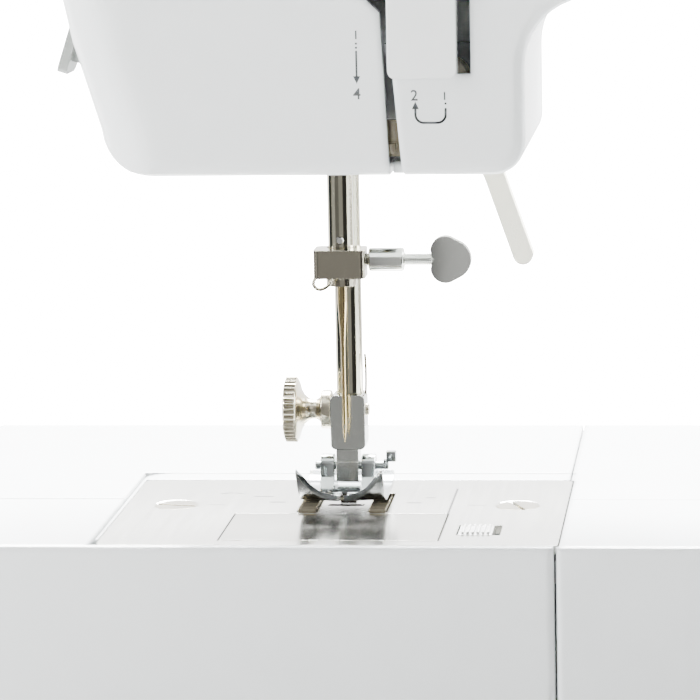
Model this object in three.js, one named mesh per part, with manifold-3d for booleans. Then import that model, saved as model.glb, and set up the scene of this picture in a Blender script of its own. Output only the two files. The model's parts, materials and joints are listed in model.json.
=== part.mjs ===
// A free-arm household sewing machine with a top-loading bobbin, as an assembly of separate pieces.
// Millimetres, +Z up, +X to the handwheel, -Y towards the person sewing.
// Pieces are placed about the needle's axis (x = 0, y = 0) with the table top at z = 0. The exported group then
// puts the origin under the middle of the machine's bounding box.
import * as THREE from "three";
import { mergeVertices } from "three/addons/utils/BufferGeometryUtils.js";
import Module from "manifold-3d";

const wasm = await Module();
wasm.setup();

// ---------------------------------------------------------------- driving dimensions
const gap = 0.4; // clearance between pieces
const wall = 2.5; // moulded cover wall
const skirt = 4.6; // underside of the covers, above the table

const bedTop = 72; // height of the sewing surface
const headBottom = 154.4;
const armUnder = 192.8;
const machineTop = 290;

const front = -43.7; // front face of head, arm, pillar and bed
const armBack = 27;
const bedBack = 100;
const headRight = 45.6;
const pillarLeft = 163;
const pillarRight = 262;
const rearSeam = 18; // where the rear cover meets the front cover

const plateHalf = 51.5; // needle plate, each side of the needle
const plateFront = -42.2;
const plateBack = 28;
const plateThick = 2;

const freeArmLeft = -53;
const freeArmBack = 36.2;
const freeArmBottom = 22;
const baseLeft = 51.1; // left end of the fixed bed
const tableLeft = -105; // left end of the sliding extension table
const doorBack = 6.4; // back edge of the accessory door's top

const shaftY = -3.4;
const shaftZ = 240; // upper shaft
const shaftRadius = 5;
const lowerShaftZ = 37;
const lowerShaftRadius = 4;

const hookY = -18.8; // bobbin centre, in front of the needle
const hookRadius = 18;
const bobbinRadius = 10.2;

const needleBarRadius = 3;
const crankThrow = 16.5;
const presserX = 0.4;
const presserY = 9;
const presserRadius = 3.175;
const footLift = 2.2; // height of the presser foot's sole above the bed at rest
const anklePin = { y: 7, z: bedTop + 8, radius: 1 }; // the presser foot's hinge

const handwheelRadius = 33;
const round = 20; // sides of a small round piece

// ---------------------------------------------------------------- materials
const finish = (color, roughness, metalness) => new THREE.MeshStandardMaterial({ color, roughness, metalness });
const whitePlastic = finish(0xdfe3e4, 0.25, 0);
const greyPlastic = finish(0xa9adb0, 0.4, 0);
const creamPlastic = finish(0xe3e0cf, 0.45, 0);
const darkPlastic = finish(0x26282a, 0.5, 0);
const rubber = finish(0x1d1d1f, 0.9, 0);
const chrome = finish(0xc9cdd0, 0.12, 1);
const steel = finish(0x9a9a94, 0.3, 1);
const nickel = finish(0xa79f86, 0.28, 1);
const castMetal = finish(0x8f9396, 0.55, 1);
const clearPlastic = finish(0xe8ece9, 0.1, 0);
const motorMetal = finish(0x5c6064, 0.45, 1);

// ---------------------------------------------------------------- solids
// A closed geometry as a manifold solid.
function solid(geometry) {
  const bare = (geometry.index ? geometry.toNonIndexed() : geometry.clone());
  bare.deleteAttribute("normal");
  bare.deleteAttribute("uv");
  const merged = mergeVertices(bare, 1e-4);
  const corners = [];
  const index = merged.index.array;
  for (let i = 0; i < index.length; i += 3) {
    const [a, b, c] = [index[i], index[i + 1], index[i + 2]];
    if (a !== b && b !== c && a !== c) corners.push(a, b, c);
  }
  const mesh = new wasm.Mesh({
    numProp: 3,
    vertProperties: merged.attributes.position.array,
    triVerts: new Uint32Array(corners),
  });
  return new wasm.Manifold(mesh);
}

// A manifold solid as a geometry for a mesh.
function geometryOf(made) {
  const mesh = made.getMesh();
  const geometry = new THREE.BufferGeometry();
  geometry.setAttribute("position", new THREE.BufferAttribute(new Float32Array(mesh.vertProperties), 3));
  geometry.setIndex(new THREE.BufferAttribute(new Uint32Array(mesh.triVerts), 1));
  geometry.computeVertexNormals();
  return geometry;
}

const join = (...solids) => solids.reduce((a, b) => a.add(b));
const cut = (body, ...tools) => tools.reduce((a, b) => a.subtract(b), body);

// A box between two values on each axis.
function block(x0, x1, y0, y1, z0, z1) {
  const box = new THREE.BoxGeometry(x1 - x0, y1 - y0, z1 - z0);
  return solid(box.translate((x0 + x1) / 2, (y0 + y1) / 2, (z0 + z1) / 2));
}

// A round bar or, with two radii, a cone, between two values on an axis.
function bar(axis, radius, from, to, [u, v], endRadius = radius, sides = round) {
  const shape = new THREE.CylinderGeometry(endRadius, radius, to - from, sides);
  const middle = (from + to) / 2;
  if (axis === "x") shape.rotateZ(-Math.PI / 2).translate(middle, u, v);
  if (axis === "y") shape.translate(u, middle, v);
  if (axis === "z") shape.rotateX(Math.PI / 2).translate(u, v, middle);
  return solid(shape);
}

// An outline through points [a, b, corner radius]. Round corners are arcs.
function outline(points) {
  const shape = new THREE.Shape();
  const count = points.length;
  points.forEach(([a, b, radius = 0], i) => {
    const corner = new THREE.Vector2(a, b);
    const before = new THREE.Vector2(...points[(i + count - 1) % count]).sub(corner).normalize();
    const after = new THREE.Vector2(...points[(i + 1) % count]).sub(corner).normalize();
    const start = i ? "lineTo" : "moveTo";
    if (!radius) {
      shape[start](a, b);
      return;
    }
    const half = Math.acos(THREE.MathUtils.clamp(before.dot(after), -1, 1)) / 2;
    const reach = radius / Math.tan(half);
    const from = before.clone().multiplyScalar(reach).add(corner);
    const to = after.clone().multiplyScalar(reach).add(corner);
    const centre = before.clone().add(after).normalize().multiplyScalar(radius / Math.sin(half)).add(corner);
    const turn = before.x * after.y - before.y * after.x;
    shape[start](from.x, from.y);
    shape.absarc(
      centre.x,
      centre.y,
      radius,
      Math.atan2(from.y - centre.y, from.x - centre.x),
      Math.atan2(to.y - centre.y, to.x - centre.x),
      turn > 0,
    );
  });
  shape.closePath();
  return shape;
}

// The same outline moved inwards by a wall, for points given anticlockwise.
function inset(points, distance) {
  const count = points.length;
  return points.map(([a, b, radius = 0], i) => {
    const [pa, pb] = points[(i + count - 1) % count];
    const [na, nb] = points[(i + 1) % count];
    const inward = (x0, y0, x1, y1) => {
      const length = Math.hypot(x1 - x0, y1 - y0);
      return [-(y1 - y0) / length, (x1 - x0) / length];
    };
    const [ux, uy] = inward(pa, pb, a, b);
    const [vx, vy] = inward(a, b, na, nb);
    const share = distance / (1 + ux * vx + uy * vy);
    const convex = (a - pa) * (nb - b) - (b - pb) * (na - a) > 0;
    const newRadius = radius ? Math.max(0.3, radius + (convex ? -distance : distance)) : 0;
    return [a + (ux + vx) * share, b + (uy + vy) * share, newRadius];
  });
}

const arcSteps = 5;
const toX = new THREE.Matrix4().makeBasis(
  new THREE.Vector3(0, 1, 0),
  new THREE.Vector3(0, 0, 1),
  new THREE.Vector3(1, 0, 0),
);

// An outline pushed along an axis: in (x, z) along y, in (y, z) along x, in (x, y) along z.
function prism(axis, points, from, to, edge = 0, steps = arcSteps) {
  const shape = new THREE.ExtrudeGeometry(outline(points), {
    depth: to - from - 2 * edge,
    curveSegments: steps,
    bevelEnabled: edge > 0,
    bevelSize: edge,
    bevelThickness: edge,
    bevelOffset: -edge,
    bevelSegments: 2,
  });
  if (axis === "y") shape.rotateX(Math.PI / 2).translate(0, to - edge, 0);
  if (axis === "x") shape.applyMatrix4(toX).translate(from + edge, 0, 0);
  if (axis === "z") shape.translate(0, 0, from + edge);
  return solid(shape);
}

// A turned piece: a profile of [radius, height] from the axis, out, up and back to the axis, about z.
function turned(profile, steps = round) {
  const points = profile.map(([radius, height]) => new THREE.Vector2(radius, height));
  return solid(new THREE.LatheGeometry(points, steps).rotateX(Math.PI / 2));
}

const rectangle = (a0, b0, a1, b1, radius = 0) => [
  [a0, b0, radius],
  [a1, b0, radius],
  [a1, b1, radius],
  [a0, b1, radius],
];

// ---------------------------------------------------------------- assembly
const machine = new THREE.Group();
const bodies = {}; // the pieces that move together

// Adds a piece, given in the machine's frame, as a mesh whose own origin is at a place such as its pivot.
function piece(body, name, made, material, place = [0, 0, 0]) {
  if (!bodies[body]) {
    bodies[body] = new THREE.Group();
    machine.add(bodies[body]);
  }
  const geometry = geometryOf(made).translate(-place[0], -place[1], -place[2]);
  const mesh = new THREE.Mesh(geometry, material);
  mesh.name = name;
  mesh.position.set(...place);
  bodies[body].add(mesh);
}

// ---------------------------------------------------------------- main covers
// The head's left side leans out as it rises: [height, x].
const headSide = [
  [headBottom, -46.4],
  [headBottom + 19, -52.6],
  [headBottom + 33, -56.6],
  [headBottom + 52, -60.3],
  [machineTop - 50, -63.5],
  [machineTop, -64],
];
function headSideAt(z) {
  const above = headSide.findIndex(([height]) => height >= z);
  if (above < 1) return above ? headSide.at(-1)[1] : headSide[0][1];
  const [[z0, x0], [z1, x1]] = [headSide[above - 1], headSide[above]];
  return x0 + ((x1 - x0) * (z - z0)) / (z1 - z0);
}
const headCorner = 14; // plan radius of the head's left corners
const coverEdge = 2.2; // rounding along the covers' front and back edges

// Front view of head, arm, pillar and fixed bed in (x, z), anticlockwise.
const frontView = [
  [baseLeft, skirt],
  [pillarRight, skirt, 7],
  [pillarRight, machineTop, 24],
  [headSide.at(-1)[1], machineTop, 30],
  ...headSide.slice(1, -1).reverse().map(([z, x]) => [x, z, 8]),
  [headSide[0][1], headBottom, 14],
  [headRight, headBottom, 7],
  [headRight, armUnder, 15],
  [pillarLeft, armUnder, 18],
  [pillarLeft, bedTop, 14],
  [baseLeft, bedTop],
];
const farRight = pillarRight + 60;

// The head seen from above, swept up its leaning side.
function headPlan(inwards) {
  const points = rectangle(-100, front, farRight, armBack);
  points[0][2] = headCorner;
  points[3][2] = headCorner;
  const bottom = headBottom - 10;
  const shape = new THREE.ExtrudeGeometry(outline(inset(points, inwards)), {
    depth: machineTop + 10 - bottom,
    steps: 8,
    curveSegments: arcSteps,
    bevelEnabled: false,
  });
  shape.translate(0, 0, bottom);
  const position = shape.attributes.position;
  for (let i = 0; i < position.count; i++) {
    const x = position.getX(i);
    if (x < 0) position.setX(i, x + 100 + headSideAt(position.getZ(i)));
  }
  return solid(shape);
}

// The outside of the fixed covers, or with a wall the hollow inside them.
function coverBlock(inwards) {
  const edge = inwards ? 0 : coverEdge;
  const profile = inwards ? inset(frontView, inwards) : frontView;
  const rightEnd = (back) => inset(
    [
      [-300, front],
      [pillarRight, front, 12],
      [pillarRight, back, 12],
      [-300, back],
    ],
    inwards,
  );
  const headStart = block(-200, headRight - 20, -200, 200, headBottom - 8, machineTop + 5);
  const upper = prism("y", profile, front + inwards, armBack - inwards, edge)
    .intersect(prism("z", rightEnd(armBack), -10, machineTop + 10));
  const head = upper.intersect(headStart).intersect(headPlan(inwards));
  const bedOutline = rectangle(baseLeft, skirt, pillarRight, bedTop);
  bedOutline[1][2] = 5;
  bedOutline[2][2] = 3;
  const bed = prism("y", inset(bedOutline, inwards), front + inwards, bedBack - inwards, edge && 1.2)
    .intersect(prism("z", rightEnd(bedBack), -10, machineTop));
  return join(upper.subtract(headStart), head, bed);
}

// Thread path: the face cover's right edge and the front cover's left edge, in (x, z), from the bottom up.
const slotTop = machineTop - 22;
const faceEdge = [
  [16.4, headBottom - 10],
  [15, 176],
  [14.3, 190],
  [8, 196.3],
  [8, slotTop],
];
const frontEdge = [
  [21.5, headBottom - 10],
  [18.7, headBottom + 2],
  [17.1, 175],
  [17.1, slotTop],
];
const rightSlot = { left: 31.1, right: 34.1, bottom: 176.6, top: machineTop - 14 };
const faceBack = 12; // the face cover wraps round the head's left side as far as this

const facePrism = (grow) => prism(
  "y",
  [...faceEdge.map(([x, z]) => [x + grow, z]), [-120, slotTop + grow], [-120, headBottom - 10]],
  -80,
  faceBack + grow,
);
const slotTool = prism("y", [...frontEdge, ...faceEdge.toReversed()], -80, front + wall + 3);
const barOpening = block(-13, 12, -10, 17, headBottom - 5, headBottom + wall + 2); // needle and presser bars

// Knobs, pins and sockets that come through the covers.
const tensionDial = { x: 74, z: 256, radius: 13, spindle: 4 };
const patternDial = { x: 213, z: 205, radius: 24, spindle: 5 };
const lengthDial = { x: 213, z: 155, radius: 14, spindle: 4 };
const reverse = { x: 213, z: 112, halfWidth: 8, halfHeight: 6, travel: 10 };
const winder = { x: 222, y: -4, radius: 3, travel: 5 };
const spool = { x: 140, y: 12, radius: 2.6 };
const lifter = { x: 25, z: bedTop + 99, radius: 3.5 };
const inlet = { y: 74, z: 36, halfWidth: 12, halfHeight: 8 };
const powerSwitch = { y: 40, z: 36, halfWidth: 9, halfHeight: 6 };
const dropFeed = { x: 90, z: 40, travel: 10 };
const lamp = { x0: -38, x1: -16, y0: -8, y1: 10 };
const handleBay = { x0: 20, x1: 126, y0: -20, y1: 4, depth: 14 };
const bayWall = 2;

const bayOuter = block(
  handleBay.x0 - bayWall,
  handleBay.x1 + bayWall,
  handleBay.y0 - bayWall,
  handleBay.y1 + bayWall,
  machineTop - handleBay.depth - bayWall,
  machineTop - 1,
);
const bayInner = block(handleBay.x0, handleBay.x1, handleBay.y0, handleBay.y1, machineTop - handleBay.depth, 400);

const frontBore = ({ x, z, spindle }) => bar("y", spindle + gap, front - 5, front + wall + 5, [x, z]);
const sideBore = ({ y, z, halfWidth, halfHeight }) => block(
  pillarRight - 10,
  pillarRight + 5,
  y - halfWidth - gap,
  y + halfWidth + gap,
  z - halfHeight - gap,
  z + halfHeight + gap,
);
const coverOpenings = [
  block(baseLeft + wall, pillarRight - wall, front + wall, bedBack - wall, 0, skirt + 5),
  slotTool,
  barOpening,
  block(rightSlot.left, rightSlot.right, -80, front + wall + 3, rightSlot.bottom, rightSlot.top),
  frontBore(tensionDial),
  frontBore(patternDial),
  frontBore(lengthDial),
  block(
    reverse.x - reverse.halfWidth - gap,
    reverse.x + reverse.halfWidth + gap,
    -80,
    front + wall + 3,
    reverse.z - reverse.halfHeight - reverse.travel - gap,
    reverse.z + reverse.halfHeight + gap,
  ),
  bar("x", shaftRadius + 1, pillarRight - 10, pillarRight + 5, [shaftY, shaftZ]),
  bar("y", lifter.radius + gap, armBack - 8, armBack + 5, [lifter.x, lifter.z]),
  bar("z", spool.radius + gap, machineTop - 10, machineTop + 5, [spool.x, spool.y]),
  block(
    winder.x - winder.travel - winder.radius - gap,
    winder.x + winder.radius + gap,
    winder.y - winder.radius - gap,
    winder.y + winder.radius + gap,
    machineTop - 10,
    machineTop + 5,
  ),
  sideBore(inlet),
  sideBore(powerSwitch),
  block(dropFeed.x - 2.5, dropFeed.x + dropFeed.travel + 2.5, bedBack - 8, bedBack + 5, dropFeed.z - 2.5, dropFeed.z + 2.5),
  // free arm's mouth and the corner of the bed that the needle plate overlaps
  block(baseLeft - 1, baseLeft + wall + 1, front + 6, freeArmBack - 5, freeArmBottom + 5, bedTop - 6),
  block(0, plateHalf + gap, plateFront - gap, plateBack + gap, bedTop - plateThick - gap, bedTop + 5),
  block(0, plateHalf + gap, front - 5, freeArmBack + gap, bedTop - 0.1, bedTop + 0.1),
];

const outer = coverBlock(0);
const shell = join(cut(outer, coverBlock(wall)), bayOuter.intersect(outer)).subtract(join(bayInner, ...coverOpenings));
const biggest = (made) => made.decompose().reduce((a, b) => (a.volume() > b.volume() ? a : b));

const behind = (shift) => block(-300, 400, rearSeam + shift, 300, bedTop + 6 + shift, 400);
const lampBay = block(lamp.x0 - gap, lamp.x1 + gap, lamp.y0 - gap, lamp.y1 + gap, headBottom - 5, headBottom + wall + 1);
const besideFace = shell.subtract(facePrism(gap));
piece("machine", "front_cover", biggest(besideFace.subtract(behind(0))), whitePlastic);
piece("machine", "rear_cover", biggest(besideFace.intersect(behind(gap))), whitePlastic);
piece("machine", "face_cover", biggest(shell.intersect(facePrism(0)).subtract(lampBay)), whitePlastic);
const lens = block(lamp.x0, lamp.x1, lamp.y0, lamp.y1, headBottom - 0.5, headBottom + wall);
piece("machine", "lamp_lens", lens, clearPlastic);

const tab = rectangle(16, bedTop + 103.7, rightSlot.left, rightSlot.top, 1.8);
piece("machine", "threading_tab", prism("y", tab, front - 1.4, front - gap, 0, 5), whitePlastic);

// Wire guides behind the thread slot.
const guideHook = (z0, z1) => join(
  block(12.5, 19.5, front + 6.2, front + 7.6, z0, z1),
  block(14.8, 17, front + 3.4, front + 7, z0 + 1, z0 + 3),
);
piece("machine", "lower_thread_guide", guideHook(bedTop + 86, bedTop + 94), nickel);
piece("machine", "upper_thread_guide", guideHook(bedTop + 108, bedTop + 114), castMetal);

// The thread cutter stands off the head's side and leans with it.
const cutterHeight = 12.2;
const cutterPlate = rectangle(-6, -cutterHeight / 2, 6, cutterHeight / 2, 2);
const cutterBlade = prism("x", cutterPlate, -1.15, 1.15, 0, 4)
  .subtract(block(-0.3, 2, -8, 8, cutterHeight / 2 - 3, cutterHeight));
const cutterStem = block(1, 6, -3, 3, -3, 1);
const cutter = join(cutterBlade, cutterStem)
  .rotate([0, 18, 0])
  .translate([-57.8, -18, bedTop + 109.4])
  .subtract(outer.translate([-gap, 0, 0]));
piece("machine", "thread_cutter", cutter, greyPlastic);

// ---------------------------------------------------------------- chassis
const frameBack = armBack - wall - 0.5;
const framePlate = [frameBack - 3.5, frameBack];
const lowerBearings = [22, 226];
const upperBearings = [32, 226];
const presserBore = bar("z", presserRadius + gap, 120, 280, [presserX, presserY]);
const gatePivot = { x: -7, z: 276, radius: 2.5 };
const takeUp = { x0: 12, x1: 14.2, y: 6, z: 226, tipY: front - 11, tipZ: 256 };

function bearing(x, z, radius) {
  return block(x, x + 9, shaftY - radius - 4, framePlate[1], z - radius - 4, z + radius + 4);
}
const arm = cut(
  join(
    block(-20, 252, ...framePlate, armUnder + 8, 272),
    block(-14, 14, ...framePlate, headBottom + 6, 283),
    block(168, 252, ...framePlate, 7, armUnder + 10),
    block(-6, 7, presserY - 2, framePlate[1], headBottom + 5, headBottom + 13),
    block(-6, 7, presserY - 2, framePlate[1], 240, 248),
    block(-12, -2, 8, framePlate[1], gatePivot.z - 6, gatePivot.z + 6),
    block(9.6, 11.6, takeUp.y - 2.6, framePlate[1], takeUp.z - 4, takeUp.z + 4),
    bar("x", 2, 9.6, takeUp.x1 + 0.2, [takeUp.y, takeUp.z]),
    ...upperBearings.map((x) => bearing(x, shaftZ, shaftRadius)),
  ),
  presserBore,
  bar("x", shaftRadius + gap, 20, 252, [shaftY, shaftZ]),
  bar("y", gatePivot.radius + gap, 0, 40, [gatePivot.x, gatePivot.z]),
);
const armBeam = cut(
  join(
    block(-44, 172, framePlate[0], 31, 28, 46),
    block(-9, 9, hookY - 9, 31, freeArmBottom + wall + 0.3, 26.6),
    block(-9, 9, framePlate[0], 31, 25, 40),
    ...lowerBearings.map((x) => bearing(x, lowerShaftZ, lowerShaftRadius)),
  ),
  bar("x", lowerShaftRadius + gap, -30, 252, [shaftY, lowerShaftZ]),
  bar("z", 3 + gap, 20, 30, [0, hookY]),
);
const lifterBore = bar("y", lifter.radius + gap, 0, 60, [lifter.x, lifter.z]);
const lifterBoss = block(14, lifter.x + 7, ...framePlate, lifter.z - 7, lifter.z + 7);
piece("machine", "arm_frame", cut(join(arm, armBeam, lifterBoss), lifterBore), castMetal);
piece(
  "machine",
  "base_plate",
  block(baseLeft + wall + gap, pillarRight - wall - gap, front + wall + gap, bedBack - wall - gap, 4, 6.6),
  greyPlastic,
);
const footPlaces = {
  front_left: [66, front + 16],
  front_right: [pillarRight - 18, front + 16],
  rear_left: [66, bedBack - 16],
  rear_right: [pillarRight - 18, bedBack - 16],
};
for (const [corner, [x, y]] of Object.entries(footPlaces)) {
  piece("machine", `rubber_foot_${corner}`, bar("z", 7, 0, 3.7, [x, y], 8), rubber);
}

// ---------------------------------------------------------------- free arm and needle plate
const plateUnder = bedTop - plateThick;
const freeArmView = [
  // in (x, z), anticlockwise
  [freeArmLeft, freeArmBottom, 12],
  [baseLeft - gap, freeArmBottom],
  [baseLeft - gap, bedTop],
  [freeArmLeft, bedTop, 1],
];
const freeArmPlan = [
  [freeArmLeft, front + 2.9, 7],
  [baseLeft - gap, front + 2.9],
  [baseLeft - gap, freeArmBack],
  [freeArmLeft, freeArmBack, 7],
];
function freeArmBlock(inwards) {
  const open = inwards ? 10 : 0; // the hollow runs out of the right end
  const stretch = (points) => points.map(([a, ...rest]) => [a > 0 ? a + open : a, ...rest]);
  return prism("y", stretch(inset(freeArmView, inwards)), -80, 80)
    .intersect(prism("z", stretch(inset(freeArmPlan, inwards)), 0, 100));
}
const screwX = 40;
const freeArm = cut(
  freeArmBlock(0),
  freeArmBlock(2.2).intersect(block(-100, 100, -100, 100, 0, plateUnder - 2.6)),
  block(-plateHalf - 0.3, 100, -80, plateBack + 0.3, plateUnder - 0.3, bedTop + 5),
  block(-27, 27, front + 5, 22, plateUnder - 6, bedTop),
  block(20, 42, -34, -18, plateUnder - 6, bedTop),
  bar("z", 2.4, plateUnder - 9, bedTop, [-screwX, 0]),
  bar("z", 2.4, plateUnder - 9, bedTop, [screwX, 0]),
);
piece("machine", "free_arm_cover", freeArm, whitePlastic);

const coverHalf = 24.5;
const coverFront = -37.6;
const coverBack = -9.7;
const coverUnder = bedTop - 1.1;
const latch = { x0: 28.6, x1: 36.2, y0: -31.3, y1: -21.8, travel: 1.5 };
const feedTravel = 3;
const feedBars = [
  // x0, x1, y0, y1
  [-10.3, -6.2, -7.8, 10],
  [-1.9, 1.9, 5.2, 12],
  [6.2, 10, -7.8, 10],
];
const coverSlope = Math.tan(THREE.MathUtils.degToRad(20)); // the cover lifts off forwards along this slope
const coverShape = (grow, z0, z1) => [
  // in (y, z); the front edge is bevelled along the slope
  [coverFront - grow + (bedTop - z0) / coverSlope, z0],
  [coverBack + grow, z0],
  [coverBack + grow, z1],
  [coverFront - grow + (bedTop - z1) / coverSlope, z1],
];
const plate = cut(
  prism("z", rectangle(-plateHalf, plateFront, plateHalf, plateBack, 1.6), plateUnder, bedTop),
  prism("x", coverShape(0.3, coverUnder - 0.3, bedTop + 0.5), -coverHalf - 0.3, coverHalf + 0.3),
  block(-coverHalf + 1.5, coverHalf - 1.5, coverFront + 4.6, coverBack - 1.5, 0, 100),
  block(latch.x0 - gap, latch.x1 + latch.travel + gap, latch.y0 - gap, latch.y1 + gap, 0, 100),
  prism("z", rectangle(-4.4, -1.2, 4.4, 1.2, 1.1), 0, 100, 0, 5),
  ...feedBars.map(([x0, x1, y0, y1]) => block(x0 - gap, x1 + gap, y0 - gap, y1 + feedTravel + gap, 0, 100)),
  bar("z", 2.7, plateUnder - 0.1, bedTop + 0.1, [-screwX, 0], 5.5),
  bar("z", 2.7, plateUnder - 0.1, bedTop + 0.1, [screwX, 0], 5.5),
);
piece("machine", "needle_plate", plate, chrome);
for (const [side, x] of [["left", -screwX], ["right", screwX]]) {
  const screw = turned([[0, 60], [1.9, 60], [1.9, plateUnder], [2.2, plateUnder], [4.9, bedTop - 0.1], [0, bedTop - 0.1]]);
  const slot = block(-0.5, 0.5, -8, 8, bedTop - 0.9, bedTop + 1).rotate([0, 0, x < 0 ? 78 : 22]);
  piece("machine", `plate_screw_${side}`, screw.subtract(slot).translate([x, 0, 0]), steel);
}
piece(
  "bobbin_cover",
  "bobbin_cover",
  prism("x", coverShape(0, coverUnder, bedTop), -coverHalf, coverHalf),
  chrome,
  [0, coverBack, bedTop],
);
const ribs = [0, 1, 2, 3, 4, 5].map((i) => block(
  latch.x0 + 0.7 + i * 1.15,
  latch.x0 + 1.3 + i * 1.15,
  latch.y0 + 0.6,
  latch.y1 - 0.6,
  bedTop - 0.2,
  bedTop + 0.5,
));
const latchPiece = join(
  block(latch.x0, latch.x1, latch.y0, latch.y1, plateUnder - 1, bedTop),
  block(27.6, 38.5, -33, -20, plateUnder - 1.8, plateUnder - 0.5),
  ...ribs,
);
piece("cover_latch", "cover_latch", latchPiece, darkPlastic, [latch.x0, latch.y0, plateUnder]);

// ---------------------------------------------------------------- extension table and accessory door
const tableRight = baseLeft - gap;
const tableView = rectangle(tableLeft, skirt, tableRight, bedTop);
tableView[0][2] = 4;
tableView[3][2] = 3;
const tablePlan = rectangle(tableLeft, front, tableRight, bedBack);
tablePlan[0][2] = 8;
tablePlan[3][2] = 8;
const tableBlock = (inwards) => prism("y", inset(tableView, inwards), front + inwards, bedBack - inwards, inwards ? 0 : 1.2)
  .intersect(prism("z", inset(tablePlan, inwards), 0, 100));
const armBay = block(freeArmLeft - gap, 100, front - 1, freeArmBack + gap, skirt + wall, bedTop + 5);
const armBayWall = block(freeArmLeft - gap - wall, 100, -100, freeArmBack + gap + wall, 0, 100);
const doorHinge = { y: front + 1.7, z: skirt + 2.2 };
const doorThick = 2.5;
const doorRegion = (grow) => join(
  block(-200, 100, front - 5, front + doorThick + grow, 0, 100),
  block(-200, freeArmLeft - gap, front - 5, doorBack + grow, bedTop - doorThick - grow, 100),
  block(-200, 100, front - 5, doorHinge.y + 3 * Math.sign(grow), 0, skirt + 4 * Math.sign(grow)),
);
const table = cut(
  tableBlock(0),
  cut(tableBlock(wall), armBayWall),
  block(tableLeft + wall, freeArmLeft - gap - wall, front + wall, bedBack - wall, skirt + wall, bedTop - wall),
  block(tableLeft + wall, tableRight - wall, freeArmBack + gap + wall, bedBack - wall, skirt + wall, bedTop - wall),
  armBay,
  doorRegion(gap),
);
piece("extension_table", "extension_table", biggest(table), whitePlastic);
const door = cut(
  tableBlock(0).intersect(doorRegion(0)),
  block(freeArmLeft - gap, 100, plateFront - 0.3, 100, plateUnder - gap, 100),
);
piece("accessory_door", "accessory_door", biggest(door), whitePlastic, [0, doorHinge.y, doorHinge.z]);
for (const [end, y] of [["front", front + 18], ["rear", bedBack - 16]]) {
  piece("extension_table", `table_foot_${end}`, bar("z", 6, 0, skirt - 0.3, [tableLeft + 18, y], 7), rubber);
}

// ---------------------------------------------------------------- shafts, belts, motor and handwheel
const timingBelt = { x0: 176, x1: 184, radius: 12 };
const motorBelt = { x0: 251, x1: 256, radius: 6, bigRadius: 20 };
const motor = { x0: 196, x1: 246, y: 0, z: 112, radius: 19.5 };
const crankDisc = { x0: 16.5, x1: 21.5, radius: 22 };
const shaft = join(
  bar("x", shaftRadius, crankDisc.x0 + 1, pillarRight + 18, [shaftY, shaftZ]),
  bar("x", crankDisc.radius, crankDisc.x0, crankDisc.x1, [shaftY, shaftZ])
    .subtract(block(0, 40, -60, 60, shaftZ + 6, shaftZ + 60)),
  block(crankDisc.x0, crankDisc.x1, shaftY - 6, shaftY + 6, shaftZ, shaftZ + crankThrow + 4.5),
  bar("x", 3, crankDisc.x0 - 1.5, crankDisc.x1, [shaftY, shaftZ + crankThrow]),
  bar("x", timingBelt.radius, timingBelt.x0 - 1, timingBelt.x1 + 1, [shaftY, shaftZ]),
  bar("x", motorBelt.bigRadius, motorBelt.x0 - 0.5, motorBelt.x1 + 0.5, [shaftY, shaftZ]),
);
piece("main_shaft", "main_shaft", shaft, steel, [0, shaftY, shaftZ]);

const wheelX = pillarRight + 1;
const wheelProfile = [
  [shaftRadius + 0.3, 0],
  [handwheelRadius - 3, 0],
  [handwheelRadius, 3],
  [handwheelRadius, 14],
  [handwheelRadius - 4, 18],
  [handwheelRadius - 10, 18],
  [handwheelRadius - 14, 13],
  [14, 13],
  [12, 20],
  [shaftRadius + 0.3, 20],
  [shaftRadius + 0.3, 0],
];
const gripCount = 16;
const grips = Array.from({ length: gripCount }, (_, i) => bar("z", 1.6, 3, 14, [handwheelRadius + 0.5, 0], 1.6, 6)
  .rotate([0, 0, (i * 360) / gripCount]));
const wheel = cut(turned(wheelProfile, 32), ...grips).rotate([0, 90, 0])
  .translate([wheelX, shaftY, shaftZ]);
piece("main_shaft", "handwheel", wheel, whitePlastic, [wheelX, shaftY, shaftZ]);

const gearY = hookY + 5 + gap + 10;
const lower = join(
  bar("x", lowerShaftRadius, -12, 240, [gearY, lowerShaftZ]),
  bar("x", 10, -4, 4, [gearY, lowerShaftZ]),
  bar("x", timingBelt.radius, timingBelt.x0 - 1, timingBelt.x1 + 1, [gearY, lowerShaftZ]),
);
piece("lower_shaft", "lower_shaft", lower, steel, [0, gearY, lowerShaftZ]);

const hull = (...solids) => wasm.Manifold.hull(solids);
function belt(x0, x1, [y0, z0, r0], [y1, z1, r1], thick) {
  const loop = (grow) => hull(
    bar("x", r0 + gap + grow, x0 - (grow ? 0 : 1), x1 + (grow ? 0 : 1), [y0, z0]),
    bar("x", r1 + gap + grow, x0 - (grow ? 0 : 1), x1 + (grow ? 0 : 1), [y1, z1]),
  );
  return loop(thick).subtract(loop(0));
}
const top = (radius) => [shaftY, shaftZ, radius];
const timing = belt(timingBelt.x0, timingBelt.x1, top(timingBelt.radius), [gearY, lowerShaftZ, timingBelt.radius], 1.6);
piece("machine", "timing_belt", timing, rubber);
const drive = belt(motorBelt.x0, motorBelt.x1, top(motorBelt.bigRadius), [motor.y, motor.z, motorBelt.radius], 1.6);
piece("machine", "motor_belt", drive, rubber);
const motorBody = cut(
  join(
    bar("x", motor.radius, motor.x0, motor.x1, [motor.y, motor.z]),
    bar("x", 7, motor.x0 - 5, motor.x1 + 1.5, [motor.y, motor.z]),
  ),
  bar("x", 3, motor.x1 - 12, motor.x1 + 8, [motor.y, motor.z]),
);
piece("machine", "motor", motorBody, motorMetal);
const pulley = join(
  bar("x", 2.6, motor.x1 - 10, motorBelt.x1 + 1, [motor.y, motor.z]),
  bar("x", motorBelt.radius, motorBelt.x0 - 0.5, motorBelt.x1 + 0.5, [motor.y, motor.z]),
);
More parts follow.
